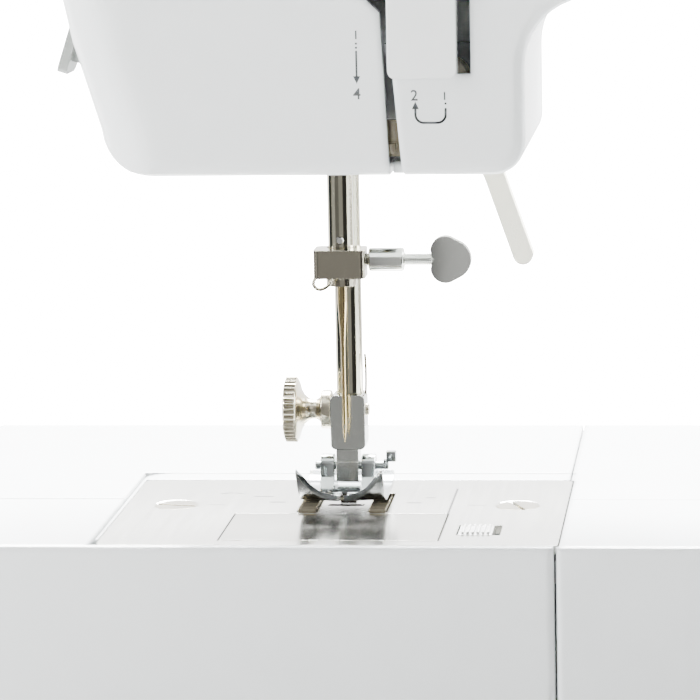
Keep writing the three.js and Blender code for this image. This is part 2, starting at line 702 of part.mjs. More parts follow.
piece("motor_pulley", "motor_pulley", pulley, steel, [motorBelt.x0, motor.y, motor.z]);

// ---------------------------------------------------------------- hook, bobbin case and bobbin
const hookTop = bedTop - 7.5;
const hook = turned([
  [0, 24.8],
  [3, 24.8],
  [3, 32],
  [5, 32],
  [5, 42],
  [4, 42],
  [4, 48],
  [hookRadius, 48],
  [hookRadius, hookTop],
  [hookRadius - 1.8, hookTop],
  [hookRadius - 1.8, 50],
  [0, 50],
], 36).subtract(block(8, 24, -3, 3, 57, 80)).translate([0, hookY, 0]);
piece("hook", "hook", hook, steel, [0, hookY, 50]);
const caseRadius = hookRadius - 2.3;
const bobbinCase = turned([
  [0, 50.4],
  [caseRadius, 50.4],
  [caseRadius, hookTop - 0.4],
  [bobbinRadius + 1.4, hookTop - 0.4],
  [bobbinRadius + 1.4, 51.8],
  [2.6, 51.8],
  [2.6, 58],
  [0, 58],
], 36).translate([0, hookY, 0]);
piece("machine", "bobbin_case", bobbinCase, darkPlastic);
const bobbin = turned([
  [3.1, 52.2],
  [bobbinRadius, 52.2],
  [bobbinRadius, 53.4],
  [4.6, 53.4],
  [4.6, 62.5],
  [bobbinRadius, 62.5],
  [bobbinRadius, 63.7],
  [3.1, 63.7],
  [3.1, 52.2],
]).translate([0, hookY, 0]);
piece("bobbin", "bobbin", bobbin, clearPlastic, [0, hookY, 52.2]);

// ---------------------------------------------------------------- feed
const feedBody = block(-12, 30, 13.5, 27, 57, 64.4);
piece("feed_bar", "feed_bar", feedBody, castMetal, [0, 13.5, 57]);
const teethTop = bedTop + 0.9;
function feedTeeth([x0, x1, y0, y1]) {
  const pitch = 1.5;
  const count = Math.floor((y1 - y0) / pitch);
  const points = [[y0, 67]];
  points.push([y0 + count * pitch, 67]);
  for (let i = count; i > 0; i--) {
    points.push([y0 + i * pitch, teethTop - 0.8]);
    points.push([y0 + (i - 0.85) * pitch, teethTop]);
  }
  points.push([y0, teethTop - 0.8]);
  return prism("x", points, x0, x1);
}
const dog = join(block(-10.3, 10, 2.4, 17, 66.8, 68.4), ...feedBars.map(feedTeeth));
piece("feed_dog", "feed_dog", dog, nickel, [0, 2.4, 66.8]);
const dropKnob = join(
  block(dropFeed.x - 1.9, dropFeed.x + 1.9, bedBack - wall - 3, bedBack + 1, dropFeed.z - 1.9, dropFeed.z + 1.9),
  block(dropFeed.x - 5, dropFeed.x + 5, bedBack + 0.6, bedBack + 5, dropFeed.z - 4, dropFeed.z + 4),
  block(dropFeed.x - 6, dropFeed.x + 6, bedBack - wall - 3, bedBack - wall - 1, dropFeed.z - 5, dropFeed.z + 5),
);
piece("drop_feed_lever", "drop_feed_lever", dropKnob, greyPlastic, [dropFeed.x, bedBack, dropFeed.z]);

// ---------------------------------------------------------------- needle bar
const gate = cut(
  join(
    block(-10, -5, -5, 5, headBottom + 9, gatePivot.z + 4),
    block(-10, 5, -5, 5, headBottom + 9, headBottom + 17),
    block(-10, 5, -5, 3.9, 236, 244),
    bar("y", gatePivot.radius, -5, frameBack, [gatePivot.x, gatePivot.z]),
  ),
  bar("z", needleBarRadius + gap, 0, 400, [0, 0]),
);
piece("needle_bar_gate", "needle_bar_gate", gate, castMetal, [gatePivot.x, 0, gatePivot.z]);

const barBottom = bedTop + 51.9;
const barTop = 283; // stays in the gate's upper bush at the bottom of its stroke
const stud = shaftZ + crankThrow - 38;
const needleBar = join(
  bar("z", needleBarRadius, barBottom + 3, barTop, [0, 0]),
  block(-4, 4, -5, 3.2, stud - 5, stud + 5),
  bar("x", 2.4, 3, 9.2, [-1.5, stud]),
);
const needleSocket = bar("z", 1.4, barBottom, barBottom + 12, [0, 0]);
piece("needle_bar", "needle_bar", needleBar.subtract(needleSocket), chrome, [0, 0, barBottom]);
const rod = hull(
  bar("x", 4, 6.2, 9, [-1.5, stud]),
  bar("x", 5, 6.2, 9, [shaftY, shaftZ + crankThrow]),
).subtract(join(bar("x", 2.7, 0, 20, [-1.5, stud]), bar("x", 3.3, 0, 20, [shaftY, shaftZ + crankThrow])));
piece("needle_bar", "connecting_rod", rod, castMetal, [6.2, -1.5, stud]);

const clampTop = bedTop + 60.7;
const clampZ = bedTop + 57.8;
const clamp = cut(
  join(
    prism("z", rectangle(-5.9, -6.2, 6, 2.2, 1.2), bedTop + 54.1, clampTop, 0, 3),
    bar("z", 3.6, barBottom, bedTop + 54.5, [0, 0]),
  ),
  bar("z", needleBarRadius + 0.3, barBottom + 2.6, clampTop + 1, [0, 0]),
  needleSocket,
  bar("x", 1.8, 2.5, 8, [0, clampZ]),
);
const clampGuide = new THREE.ExtrudeGeometry(new THREE.Shape().absarc(0, 0, 0.4, 0, Math.PI * 2), {
  steps: 12,
  curveSegments: 2,
  bevelEnabled: false,
  extrudePath: new THREE.CatmullRomCurve3([
    new THREE.Vector3(-1.5, -5, bedTop + 54.6),
    new THREE.Vector3(-2.4, -6.2, bedTop + 52.6),
    new THREE.Vector3(-4.6, -6.4, bedTop + 51.7),
    new THREE.Vector3(-5.9, -6, bedTop + 52.9),
    new THREE.Vector3(-5.2, -5, bedTop + 54.8),
  ]),
});
piece("needle_bar", "needle_clamp", clamp.add(solid(clampGuide)), steel, [0, 0, barBottom]);
const thumb = prism("y", [[21, clampZ - 5.8, 3], [29.9, clampZ - 3, 2.2], [29.9, clampZ + 3, 2.2], [21, clampZ + 5.8, 3]], -1.25, 1.25, 0, 5);
const clampScrew = join(
  bar("x", 1.5, 3.4, 22, [0, clampZ]),
  bar("x", 2.75, 6.4, 14.6, [0, clampZ]),
  thumb,
);
piece("needle_clamp_screw", "needle_clamp_screw", clampScrew, nickel, [6.4, 0, clampZ]);
const tip = bedTop + 14.4;
const needle = cut(
  turned([[0, tip], [0.45, tip + 4], [0.5, barBottom - 14], [1.1, barBottom - 4], [1.1, barBottom + 10], [0, barBottom + 10]], 16),
  block(-0.16, 0.16, -3, 3, tip + 3.4, tip + 4.8),
);
piece("needle_bar", "needle", needle, chrome, [0, 0, tip]);

const lever = hull(
  bar("x", 4.5, takeUp.x0, takeUp.x1, [takeUp.y, takeUp.z]),
  bar("x", 3, takeUp.x0, takeUp.x1, [-16, 250]),
).add(hull(
  bar("x", 3, takeUp.x0, takeUp.x1, [-16, 250]),
  bar("x", 3, takeUp.x0, takeUp.x1, [takeUp.tipY, takeUp.tipZ]),
)).subtract(join(
  bar("x", 1.2, 0, 40, [takeUp.tipY, takeUp.tipZ]),
  bar("x", 2.4, 0, 40, [takeUp.y, takeUp.z]),
));
piece("take_up_lever", "take_up_lever", lever, chrome, [takeUp.x0, takeUp.y, takeUp.z]);

// ---------------------------------------------------------------- presser bar, lifter and presser foot
const footScrewZ = bedTop + 21;
const collarTop = 210;
const presserTop = 262;
const presser = cut(
  join(
    bar("z", presserRadius, bedTop + 13, presserTop, [presserX, presserY]),
    bar("z", 4.8, collarTop - 6, collarTop, [presserX, presserY]),
  ),
  bar("x", 1.8, -10, 10, [presserY, footScrewZ]),
);
piece("presser_bar", "presser_bar", presser, chrome, [presserX, presserY, collarTop]);
const springPath = new THREE.CatmullRomCurve3(
  Array.from({ length: 41 }, (_, i) => {
    const turn = (i / 40) * 5 * Math.PI * 2;
    const rise = collarTop + 1 + (i / 40) * (239.2 - collarTop - 1);
    return new THREE.Vector3(presserX + 4.2 * Math.cos(turn), presserY + 4.2 * Math.sin(turn), rise);
  }),
);
const spring = new THREE.ExtrudeGeometry(new THREE.Shape().absarc(0, 0, 0.5, 0, Math.PI * 2), {
  steps: 60,
  curveSegments: 3,
  bevelEnabled: false,
  extrudePath: springPath,
});
piece("machine", "presser_spring", solid(spring), steel);

const liftHub = armBack + 1.4;
const leverTop = [lifter.x, lifter.z];
const lifterArm = join(
  hull(
    bar("y", 6.5, liftHub, liftHub + 5, leverTop),
    bar("y", 2.4, liftHub, liftHub + 5, [33.5, bedTop + 74]),
  ),
  hull(
    bar("y", 2.4, liftHub, liftHub + 5, [33.5, bedTop + 74]),
    bar("y", 2.4, liftHub, liftHub + 5, [40.2, bedTop + 54.6]),
  ),
  bar("y", lifter.radius, framePlate[0] - 6, liftHub + 1, leverTop),
);
piece("lifter_lever", "lifter_lever", lifterArm, creamPlastic, [lifter.x, liftHub, lifter.z]);

const holder = cut(
  join(
    prism("y", rectangle(-3.8, bedTop + 12.3, 4.3, bedTop + 25.1, 1.2), 4.1, presserY + 2.6, 0, 3),
    block(-2.6, 2.6, 4.3, presserY + 1, bedTop + 9.3, bedTop + 13),
    hull(
      block(-2.6, 2.6, 3.6, presserY + 2, bedTop + 5, bedTop + 9.4),
      block(-2.6, 2.6, 5, presserY + 1, bedTop + 4.5, bedTop + 9.4),
    ),
  ),
  bar("z", presserRadius + 0.3, bedTop + 12.7, bedTop + 40, [presserX, presserY]),
  bar("x", 1.8, -10, 10, [presserY, footScrewZ]),
  bar("x", anklePin.radius + 0.3, -10, 10, [anklePin.y, anklePin.z]),
);
piece("presser_bar", "foot_holder", holder, chrome, [presserX, presserY, footScrewZ]);

const discRadius = 7.55;
const screwProfile = [
  [0, 0],
  [1.5, 0],
  [1.5, 8.8],
  [4.5, 8.8],
  [4.5, 11.3],
  [2.6, 12.2],
  [2.9, 14.2],
  [5, 16.6],
  [discRadius, 16.9],
  [discRadius, 19.7],
  [6.4, 19.9],
  [0, 19.9],
];
const footScrew = turned(screwProfile, 36).rotate([0, -90, 0]).translate([5, presserY, footScrewZ]);
piece("foot_screw", "foot_screw", footScrew, nickel, [5, presserY, footScrewZ]);

// The foot's sole in (y, z): heel, flat, and toes that curl up from curlStart.
const sole = bedTop + footLift;
const curlStart = -3.6;
const toe = (y) => sole + 0.078 * (y - curlStart) ** 2;
const soleUnder = [[14, sole + 2], [11, sole + 0.5], [8, sole], [curlStart, sole]];
const toeLine = [-6, -8, -10, -12, -14].map((y) => [y, toe(y)]);
const soleTop = [-13.6, -12, -10, -8, -6].map((y) => [y, toe(y) + 1.5]);
const heelTop = [[curlStart, sole + 1.6], [8, sole + 1.6], [11, sole + 2], [14, sole + 3.2]];
const footSide = [...soleUnder, ...toeLine, ...soleTop, ...heelTop].reverse();
const toeNotchRadius = 20.5;
const toeNotch = bar("z", toeNotchRadius, bedTop - 5, bedTop + 30, [0, -31.9], toeNotchRadius, 36);
const ear = (x0, x1) => prism("x", [[2.6, sole + 1], [12, sole + 1], [anklePin.y + 2.6, anklePin.z + 1.6, 1.5], [anklePin.y - 2.6, anklePin.z + 1.6, 1.5]], x0, x1, 0, 3);
const foot = join(
  cut(
    prism("x", footSide, -10, 10),
    toeNotch,
    prism("z", rectangle(-3.9, -2.4, 3.9, 2.4, 1), 0, 100, 0, 4),
    block(-0.8, 0.8, -20, 0, 0, 100),
  ),
  ear(-6.4, -3.2),
  ear(3.2, 6.4),
  bar("x", anklePin.radius, -7.9, 8.9, [anklePin.y, anklePin.z]),
);
piece("presser_foot", "presser_foot", foot, chrome, [0, anklePin.y, anklePin.z]);

// ---------------------------------------------------------------- dials, levers and switches
function dial(name, place, material) {
  const { x, z, radius, spindle } = place;
  const knob = turned([[0, 0], [spindle, 0], [spindle, 8], [radius, 8], [radius, 17], [radius - 1.5, 19], [0, 19]], 24);
  const notches = Array.from({ length: 12 }, (_, i) => bar("z", 1.1, 10, 25, [radius + 0.3, 0], 1.1, 6).rotate([0, 0, i * 30 + 15]));
  const mark = block(-0.7, 0.7, radius * 0.35, radius * 0.85, 18.4, 25);
  const made = cut(knob, ...notches, mark).rotate([90, 0, 0]).translate([x, front + 7.5, z]);
  piece(name, name, made, material, [x, front, z]);
}
dial("tension_dial", tensionDial, whitePlastic);
dial("pattern_dial", patternDial, whitePlastic);
dial("length_dial", lengthDial, whitePlastic);

const reverseKnob = join(
  block(reverse.x - 8, reverse.x + 8, front - 6, front + wall + 1, reverse.z - 6, reverse.z + 6),
  block(reverse.x - 10, reverse.x + 10, front + wall + 0.6, front + wall + 3, reverse.z - 18, reverse.z + 14),
);
piece("reverse_lever", "reverse_lever", reverseKnob, greyPlastic, [reverse.x, front, reverse.z]);

const winderBase = join(
  block(winder.x - 9, winder.x + 8, winder.y - 10, winder.y + 10, machineTop - 12, machineTop - 9),
  block(winder.x - 1, winder.x + 1, winder.y + 6, winder.y + 8, machineTop - 30, machineTop - 11),
).subtract(bar("z", 2.4, 0, 400, [winder.x, winder.y]));
piece("winder_carriage", "winder_carriage", winderBase, greyPlastic, [winder.x, winder.y, machineTop - 12]);
const winderSpindle = turned([
  [0, -24],
  [2, -24],
  [2, -8.4],
  [2.9, -8.4],
  [2.9, 2],
  [8, 2],
  [8, 3.5],
  [2.9, 3.5],
  [2.9, 15],
  [2.2, 16],
  [0, 16],
]).translate([winder.x, winder.y, machineTop]);
piece("winder_spindle", "winder_spindle", winderSpindle, darkPlastic, [winder.x, winder.y, machineTop]);
const spoolPin = turned([[0, -42], [3.6, -42], [3.6, -40], [spool.radius, -40], [spool.radius, 4], [0, 6]])
  .translate([spool.x, spool.y, machineTop]);
piece("spool_pin", "spool_pin", spoolPin, greyPlastic, [spool.x, spool.y, machineTop]);

const handleZ = machineTop - 8;
const handlePivots = [handleBay.x0 + 4, handleBay.x1 - 4];
const handleY = handleBay.y1 - 6;
const grip = join(
  block(handleBay.x0 + 1, handleBay.x0 + 7, handleBay.y0 + 1, handleY + 4, handleZ - 4, handleZ + 4),
  block(handleBay.x1 - 7, handleBay.x1 - 1, handleBay.y0 + 1, handleY + 4, handleZ - 4, handleZ + 4),
  block(handleBay.x0 + 1, handleBay.x1 - 1, handleBay.y0 + 1, handleBay.y0 + 9, handleZ - 4, handleZ + 4),
);
piece("carry_handle", "carry_handle", grip, whitePlastic, [handlePivots[0], handleY, handleZ]);

const inletBody = cut(
  block(pillarRight - 16, pillarRight + 0.8, inlet.y - inlet.halfWidth, inlet.y + inlet.halfWidth, inlet.z - 8, inlet.z + 8),
  block(pillarRight - 13, pillarRight + 5, inlet.y - 10, inlet.y + 10, inlet.z - 6, inlet.z + 6),
);
const pins = [-4, 4].map((y) => bar("x", 1.3, pillarRight - 14, pillarRight - 3, [inlet.y + y, inlet.z], 1.3, 12));
piece("machine", "power_inlet", join(inletBody, ...pins), darkPlastic);
const rockerView = [
  [pillarRight - 6, powerSwitch.z - 5],
  [pillarRight + 0.4, powerSwitch.z - 4.8, 1],
  [pillarRight - 0.8, powerSwitch.z, 2],
  [pillarRight + 1.8, powerSwitch.z + 4.8, 1],
  [pillarRight - 6, powerSwitch.z + 5],
];
const rocker = prism("y", rockerView, powerSwitch.y - 9, powerSwitch.y + 9, 0, 3);
piece("power_switch", "power_switch", rocker, darkPlastic, [pillarRight - 3, powerSwitch.y, powerSwitch.z]);

// ---------------------------------------------------------------- origin under the middle of the bounding box
const group = new THREE.Group();
group.name = "sewing_machine";
group.add(machine);
const box = new THREE.Box3().setFromObject(machine);
machine.position.set(-(box.min.x + box.max.x) / 2, -(box.min.y + box.max.y) / 2, -box.min.z);

export default group;
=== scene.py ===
import json
import math

import bmesh
import bpy
from mathutils import Matrix, Vector


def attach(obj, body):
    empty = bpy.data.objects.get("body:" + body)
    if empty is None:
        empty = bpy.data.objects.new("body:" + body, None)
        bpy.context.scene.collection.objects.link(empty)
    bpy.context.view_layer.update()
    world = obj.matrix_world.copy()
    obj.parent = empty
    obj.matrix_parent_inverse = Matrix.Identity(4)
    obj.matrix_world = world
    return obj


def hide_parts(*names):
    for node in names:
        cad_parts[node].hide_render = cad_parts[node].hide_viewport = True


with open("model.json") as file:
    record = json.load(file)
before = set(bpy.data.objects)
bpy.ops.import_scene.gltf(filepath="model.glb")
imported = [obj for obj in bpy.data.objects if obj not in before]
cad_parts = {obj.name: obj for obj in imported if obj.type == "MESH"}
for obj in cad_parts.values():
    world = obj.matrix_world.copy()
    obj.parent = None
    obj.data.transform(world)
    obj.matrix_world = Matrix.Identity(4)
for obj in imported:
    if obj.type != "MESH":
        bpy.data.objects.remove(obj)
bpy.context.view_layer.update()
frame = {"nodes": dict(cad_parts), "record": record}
nodes = frame["nodes"]

MM = 0.001

# ------------------------------------------------------------------ camera
# A long lens in front and to the right of the needle, looking slightly down. Its lens shift keeps the
# machine's front parallel to the picture.
NEEDLE = Vector((-0.089, -0.02365, 0.0))  # the needle's axis where it meets the table
BED = 72.0  # height of the sewing surface, mm
STANDPOINT = (95, -818.9, BED + 176)  # the camera's place, in mm from the needle
YAW, PITCH, ROLL = 5.0, 7.18, -0.94  # to the left, down and about the view, in degrees
LENS = 185.3
LENS_SHIFT = (-0.13, -0.22)


def at(x, y, z):
    """A point given in millimetres from the needle's axis at table level, in the row frame in metres."""
    return NEEDLE + Vector((x, y, z)) * MM


camera = bpy.data.cameras.new("camera")
camera.sensor_width = 36.0
camera.lens = LENS
camera.shift_x, camera.shift_y = LENS_SHIFT
camera.clip_start = 0.05
camera.clip_end = 20.0
camera_object = bpy.data.objects.new("camera", camera)
turn = Matrix.Rotation(math.radians(YAW), 4, "Z") @ Matrix.Rotation(math.radians(90 - PITCH), 4, "X")
turn = turn @ Matrix.Rotation(math.radians(ROLL), 4, "Z")
camera_object.matrix_world = Matrix.Translation(at(*STANDPOINT)) @ turn
bpy.context.scene.collection.objects.link(camera_object)
bpy.context.scene.camera = camera_object


# ------------------------------------------------------------------ studio
# A plain white surround, a large light overhead, a strip at the left and a white floor. Polished metal sees
# dark and bright upright panels round the room, as it does between a studio's black and white cards.
def node_tree(owner):
    owner.use_nodes = True
    tree = owner.node_tree
    tree.nodes.clear()
    return tree


def link(tree, a, b):
    tree.links.new(a, b)


def math_node(tree, operation, a, b=None, c=None):
    node = tree.nodes.new("ShaderNodeMath")
    node.operation = operation
    for socket, value in zip(node.inputs, (a, b, c)):
        if value is None:
            continue
        if isinstance(value, (int, float)):
            socket.default_value = value
        else:
            link(tree, value, socket)
    return node.outputs[0]


def held_to_one(tree, value):
    """A value kept between 0 and 1."""
    return math_node(tree, "MINIMUM", math_node(tree, "MAXIMUM", value, 0.0), 1.0)


def ramp(tree, value, stops):
    """A colour ramp on a value: stops are (position, grey or colour)."""
    node = tree.nodes.new("ShaderNodeValToRGB")
    band = node.color_ramp
    while len(band.elements) > 1:
        band.elements.remove(band.elements[0])
    for i, (place, colour) in enumerate(stops):
        stop = band.elements[0] if i == 0 else band.elements.new(place)
        stop.position = place
        stop.color = (colour,) * 3 + (1,) if isinstance(colour, (int, float)) else (*colour, 1)
    link(tree, value, node.inputs["Fac"])
    return node.outputs["Color"]


def blended(tree, share, first, second):
    """A mix of two shaders."""
    node = tree.nodes.new("ShaderNodeMixShader")
    link(tree, share, node.inputs["Fac"])
    link(tree, first, node.inputs[1])
    link(tree, second, node.inputs[2])
    return node.outputs[0]


BACKDROP = 40.0  # bright enough that the background shows as plain white
REAR_GLOW = 5.0  # the lit backdrop, as glossy surfaces see it
world = bpy.data.worlds.new("studio")
bpy.context.scene.world = world
tree = node_tree(world)
direction = tree.nodes.new("ShaderNodeTexCoord")
split = tree.nodes.new("ShaderNodeSeparateXYZ")
link(tree, direction.outputs["Generated"], split.inputs[0])
ray = tree.nodes.new("ShaderNodeLightPath")


def background(colour, strength):
    node = tree.nodes.new("ShaderNodeBackground")
    node.inputs["Strength"].default_value = strength
    if colour is not None:
        link(tree, colour, node.inputs["Color"])
    else:
        node.inputs["Color"].default_value = (1, 1, 1, 1)
    return node.outputs[0]


depth = math_node(tree, "MULTIPLY_ADD", split.outputs["Y"], 0.5, 0.5)
soft_room = background(ramp(tree, depth, [(0.0, 0.22), (0.16, 0.32), (0.42, 0.7), (0.6, 1.0)]), 1.0)
# the bearing round the room: 0 and 1 behind the machine, 0.25 at its left, 0.5 behind the camera and
# 0.75 at its right
rearward = math_node(tree, "MULTIPLY", split.outputs["Y"], -1.0)
bearing = math_node(tree, "ARCTAN2", split.outputs["X"], rearward)
bearing = math_node(tree, "MULTIPLY_ADD", bearing, 0.5 / math.pi, 0.5)
panels = ramp(tree, bearing, [
    (0.0, 1.0), (0.15, 0.9), (0.18, 0.08), (0.25, 0.05), (0.30, 0.12), (0.335, 0.75), (0.38, 0.8),
    (0.41, 0.28), (0.445, 0.24), (0.48, 0.5), (0.52, 0.62), (0.56, 0.4), (0.60, 0.06), (0.66, 0.05),
    (0.69, 0.5), (0.73, 0.55), (0.76, 0.08), (0.83, 0.05), (0.86, 0.8), (1.0, 1.0),
])
height = math_node(tree, "MULTIPLY_ADD", split.outputs["Z"], 2.5, -0.9)
height = held_to_one(tree, height)
behind = ramp(tree, bearing, [(0.0, 1.0), (0.15, 1.0), (0.2, 0.0), (0.82, 0.0), (0.87, 1.0), (1.0, 1.0)])
panel_room = blended(tree, height, background(panels, 1.0), background(None, 1.1))
panel_room = blended(tree, behind, panel_room, background(None, REAR_GLOW))
room = blended(tree, ray.outputs["Is Glossy Ray"], soft_room, panel_room)
out = tree.nodes.new("ShaderNodeOutputWorld")
shown = blended(tree, ray.outputs["Is Camera Ray"], room, background(None, BACKDROP))
link(tree, shown, out.inputs["Surface"])


def area_light(name, place, aim, size, power):
    light = bpy.data.lights.new(name, "AREA")
    light.shape = "RECTANGLE"
    light.size, light.size_y = size
    light.energy = power
    holder = bpy.data.objects.new(name, light)
    holder.location = place
    holder.rotation_euler = (Vector(aim) - Vector(place)).to_track_quat("-Z", "Y").to_euler()
    bpy.context.scene.collection.objects.link(holder)


focus = at(0, 0, BED + 40)
area_light("overhead", (0.0, 0.75, 1.35), focus, (1.4, 0.8), 520)
area_light("right_side", (1.3, 0.5, 0.45), focus, (0.6, 0.9), 110)
area_light("left_strip", (-0.95, -0.35, 0.5), focus, (0.16, 0.9), 26)
area_light("front_fill", (0.5, -1.5, 0.9), focus, (0.8, 0.8), 2)

FLOOR = 4.0  # from the middle to each side, m
floor_mesh = bpy.data.meshes.new("floor")
floor_corners = [(-FLOOR, -FLOOR, 0), (FLOOR, -FLOOR, 0), (FLOOR, FLOOR, 0), (-FLOOR, FLOOR, 0)]
floor_mesh.from_pydata(floor_corners, [], [(0, 1, 2, 3)])
floor = bpy.data.objects.new("floor", floor_mesh)
floor.location.z = -0.0001
bpy.context.scene.collection.objects.link(floor)
floor_paint = bpy.data.materials.new("floor_white")
tree = node_tree(floor_paint)
surface = tree.nodes.new("ShaderNodeBsdfPrincipled")
surface.inputs["Base Color"].default_value = (0.93, 0.93, 0.92, 1)
surface.inputs["Roughness"].default_value = 0.6
surface.inputs["Specular IOR Level"].default_value = 0.1
# away from the machine the floor fades into the white background
place = tree.nodes.new("ShaderNodeTexCoord")
reach = tree.nodes.new("ShaderNodeVectorMath")
reach.operation = "LENGTH"
link(tree, place.outputs["Object"], reach.inputs[0])
fade = math_node(tree, "MULTIPLY_ADD", reach.outputs["Value"], 8.0, -2.2)
fade = held_to_one(tree, fade)
ray = tree.nodes.new("ShaderNodeLightPath")
glow = tree.nodes.new("ShaderNodeEmission")
glow.inputs["Strength"].default_value = BACKDROP
seen = math_node(tree, "MULTIPLY", fade, ray.outputs["Is Camera Ray"])
through = tree.nodes.new("ShaderNodeBsdfTransparent")
painted = blended(tree, ray.outputs["Is Glossy Ray"], surface.outputs[0], through.outputs[0])
out = tree.nodes.new("ShaderNodeOutputMaterial")
link(tree, blended(tree, seen, painted, glow.outputs[0]), out.inputs["Surface"])
floor_mesh.materials.append(floor_paint)


# ------------------------------------------------------------------ shared shader effects
# Node groups that give values: a fine mottle, dust that settles on upward faces, brushed lines and
# drawn lines.
def group(name, ins, outs):
    tree = bpy.data.node_groups.new(name, "ShaderNodeTree")
    for label, kind, value in ins:
        socket = tree.interface.new_socket(label, in_out="INPUT", socket_type=kind)
        socket.default_value = value
    for label, kind in outs:
        tree.interface.new_socket(label, in_out="OUTPUT", socket_type=kind)
    return tree, tree.nodes.new("NodeGroupInput"), tree.nodes.new("NodeGroupOutput")


def vector_node(tree, operation, a, b=None, scale=None):
    """A vector operation: b is a vector or a socket, and scale is a socket."""
    node = tree.nodes.new("ShaderNodeVectorMath")
    node.operation = operation
    for socket, value in zip(node.inputs, (a, b)):
        if value is None:
            continue
        if isinstance(value, tuple):
            socket.default_value = value
        else:
            link(tree, value, socket)
    if scale is not None:
        link(tree, scale, node.inputs["Scale"])
    return node.outputs["Value" if operation in ("LENGTH", "DOT_PRODUCT") else "Vector"]


def noise(tree, vector, scale, detail=3.0, rough=0.5):
    node = tree.nodes.new("ShaderNodeTexNoise")
    node.inputs["Scale"].default_value = scale
    node.inputs["Detail"].default_value = detail
    node.inputs["Roughness"].default_value = rough
    link(tree, vector, node.inputs["Vector"])
    return node.outputs["Fac"]


# mottle: slow cloudy change and fine grain, both about 0.5
tree, inside, outside = group(
    "mottle",
    [("Vector", "NodeSocketVector", (0, 0, 0)), ("Size", "NodeSocketFloat", 40.0)],
    [("Cloud", "NodeSocketFloat"), ("Grain", "NodeSocketFloat")],
)
scaled = vector_node(tree, "SCALE", inside.outputs["Vector"], scale=inside.outputs["Size"])
link(tree, noise(tree, scaled, 1.0, 4.0, 0.55), outside.inputs["Cloud"])
link(tree, noise(tree, scaled, 38.0, 2.0, 0.6), outside.inputs["Grain"])

# dust: light specks and a thin uneven film on faces that look up
tree, inside, outside = group(
    "dust",
    [("Vector", "NodeSocketVector", (0, 0, 0)), ("Amount", "NodeSocketFloat", 0.3)],
    [("Mask", "NodeSocketFloat")],
)
facing = tree.nodes.new("ShaderNodeNewGeometry")
facing_up = vector_node(tree, "DOT_PRODUCT", facing.outputs["Normal"], (0, 0, 1))
upward = math_node(tree, "MAXIMUM", facing_up, 0.0)
specks = math_node(tree, "GREATER_THAN", noise(tree, inside.outputs["Vector"], 1900, 1.0), 0.71)
specks = math_node(tree, "MULTIPLY", specks, 0.6)
film = math_node(tree, "MULTIPLY", noise(tree, inside.outputs["Vector"], 60, 4.0), 0.35)
settled = math_node(tree, "MULTIPLY", math_node(tree, "ADD", film, specks), upward)
link(tree, math_node(tree, "MULTIPLY", settled, inside.outputs["Amount"]), outside.inputs["Mask"])

# brushed: fine lines drawn out along one axis
tree, inside, outside = group(
    "brushed",
    [("Vector", "NodeSocketVector", (0, 0, 0)), ("Stretch", "NodeSocketVector", (1, 60, 60))],
    [("Lines", "NodeSocketFloat")],
)
drawn = vector_node(tree, "MULTIPLY", inside.outputs["Vector"], inside.outputs["Stretch"])
link(tree, noise(tree, drawn, 60.0, 5.0, 0.7), outside.inputs["Lines"])

# stroke: 1 within a half width of the line between two points, given in metres
STROKE_SOFTNESS = 0.00008
tree, inside, outside = group(
    "stroke",
    [
        ("Vector", "NodeSocketVector", (0, 0, 0)),
        ("From", "NodeSocketVector", (0, 0, 0)),
        ("To", "NodeSocketVector", (0, 0, 0)),
        ("Half Width", "NodeSocketFloat", 0.0002),
    ],
    [("Mask", "NodeSocketFloat")],
)
along = vector_node(tree, "SUBTRACT", inside.outputs["To"], inside.outputs["From"])
away = vector_node(tree, "SUBTRACT", inside.outputs["Vector"], inside.outputs["From"])
length_squared = vector_node(tree, "DOT_PRODUCT", along, along)
share = math_node(tree, "DIVIDE", vector_node(tree, "DOT_PRODUCT", away, along), length_squared)
held = held_to_one(tree, share)
nearest = vector_node(tree, "SUBTRACT", away, vector_node(tree, "SCALE", along, scale=held))
reach = vector_node(tree, "LENGTH", nearest)
beyond = math_node(tree, "SUBTRACT", reach, inside.outputs["Half Width"])
soft = math_node(tree, "DIVIDE", beyond, STROKE_SOFTNESS)
faded = math_node(tree, "SUBTRACT", 1.0, held_to_one(tree, soft))
link(tree, faded, outside.inputs["Mask"])


def use(tree, name, vector, **values):
    node = tree.nodes.new("ShaderNodeGroup")
    node.node_tree = bpy.data.node_groups[name]
    link(tree, vector, node.inputs["Vector"])
    for label, value in values.items():
        node.inputs[label.replace("_", " ")].default_value = value
    return node


def mixed(tree, share, a, b):
    """Between two colours, each a tuple or a socket."""
    node = tree.nodes.new("ShaderNodeMix")
    node.data_type = "RGBA"
    link(tree, share, node.inputs["Factor"])
    for label, value in (("A", a), ("B", b)):
        socket = [s for s in node.inputs if s.name == label and s.type == "RGBA"][0]
        if isinstance(value, tuple):
            socket.default_value = (*value, 1)
        else:
            link(tree, value, socket)
    return [s for s in node.outputs if s.type == "RGBA"][0]


def between(tree, value, low, high):
    """A 0 to 1 value moved to a range."""
    return math_node(tree, "ADD", math_node(tree, "MULTIPLY", value, high - low), low)


# ------------------------------------------------------------------ materials
# One function makes the plastics, one the metals and one the clear plastic. Each starts from the piece's
# object coordinates.
DUST = (0.62, 0.60, 0.56)
DARK_LINE = (0.04, 0.04, 0.04)
WHITE = (0.74, 0.765, 0.77)


def start_material(name):
    material = bpy.data.materials.new(name)
    tree = node_tree(material)
    place = tree.nodes.new("ShaderNodeTexCoord").outputs["Object"]
    surface = tree.nodes.new("ShaderNodeBsdfPrincipled")
    out = tree.nodes.new("ShaderNodeOutputMaterial")
    link(tree, surface.outputs[0], out.inputs["Surface"])
    return material, tree, place, surface


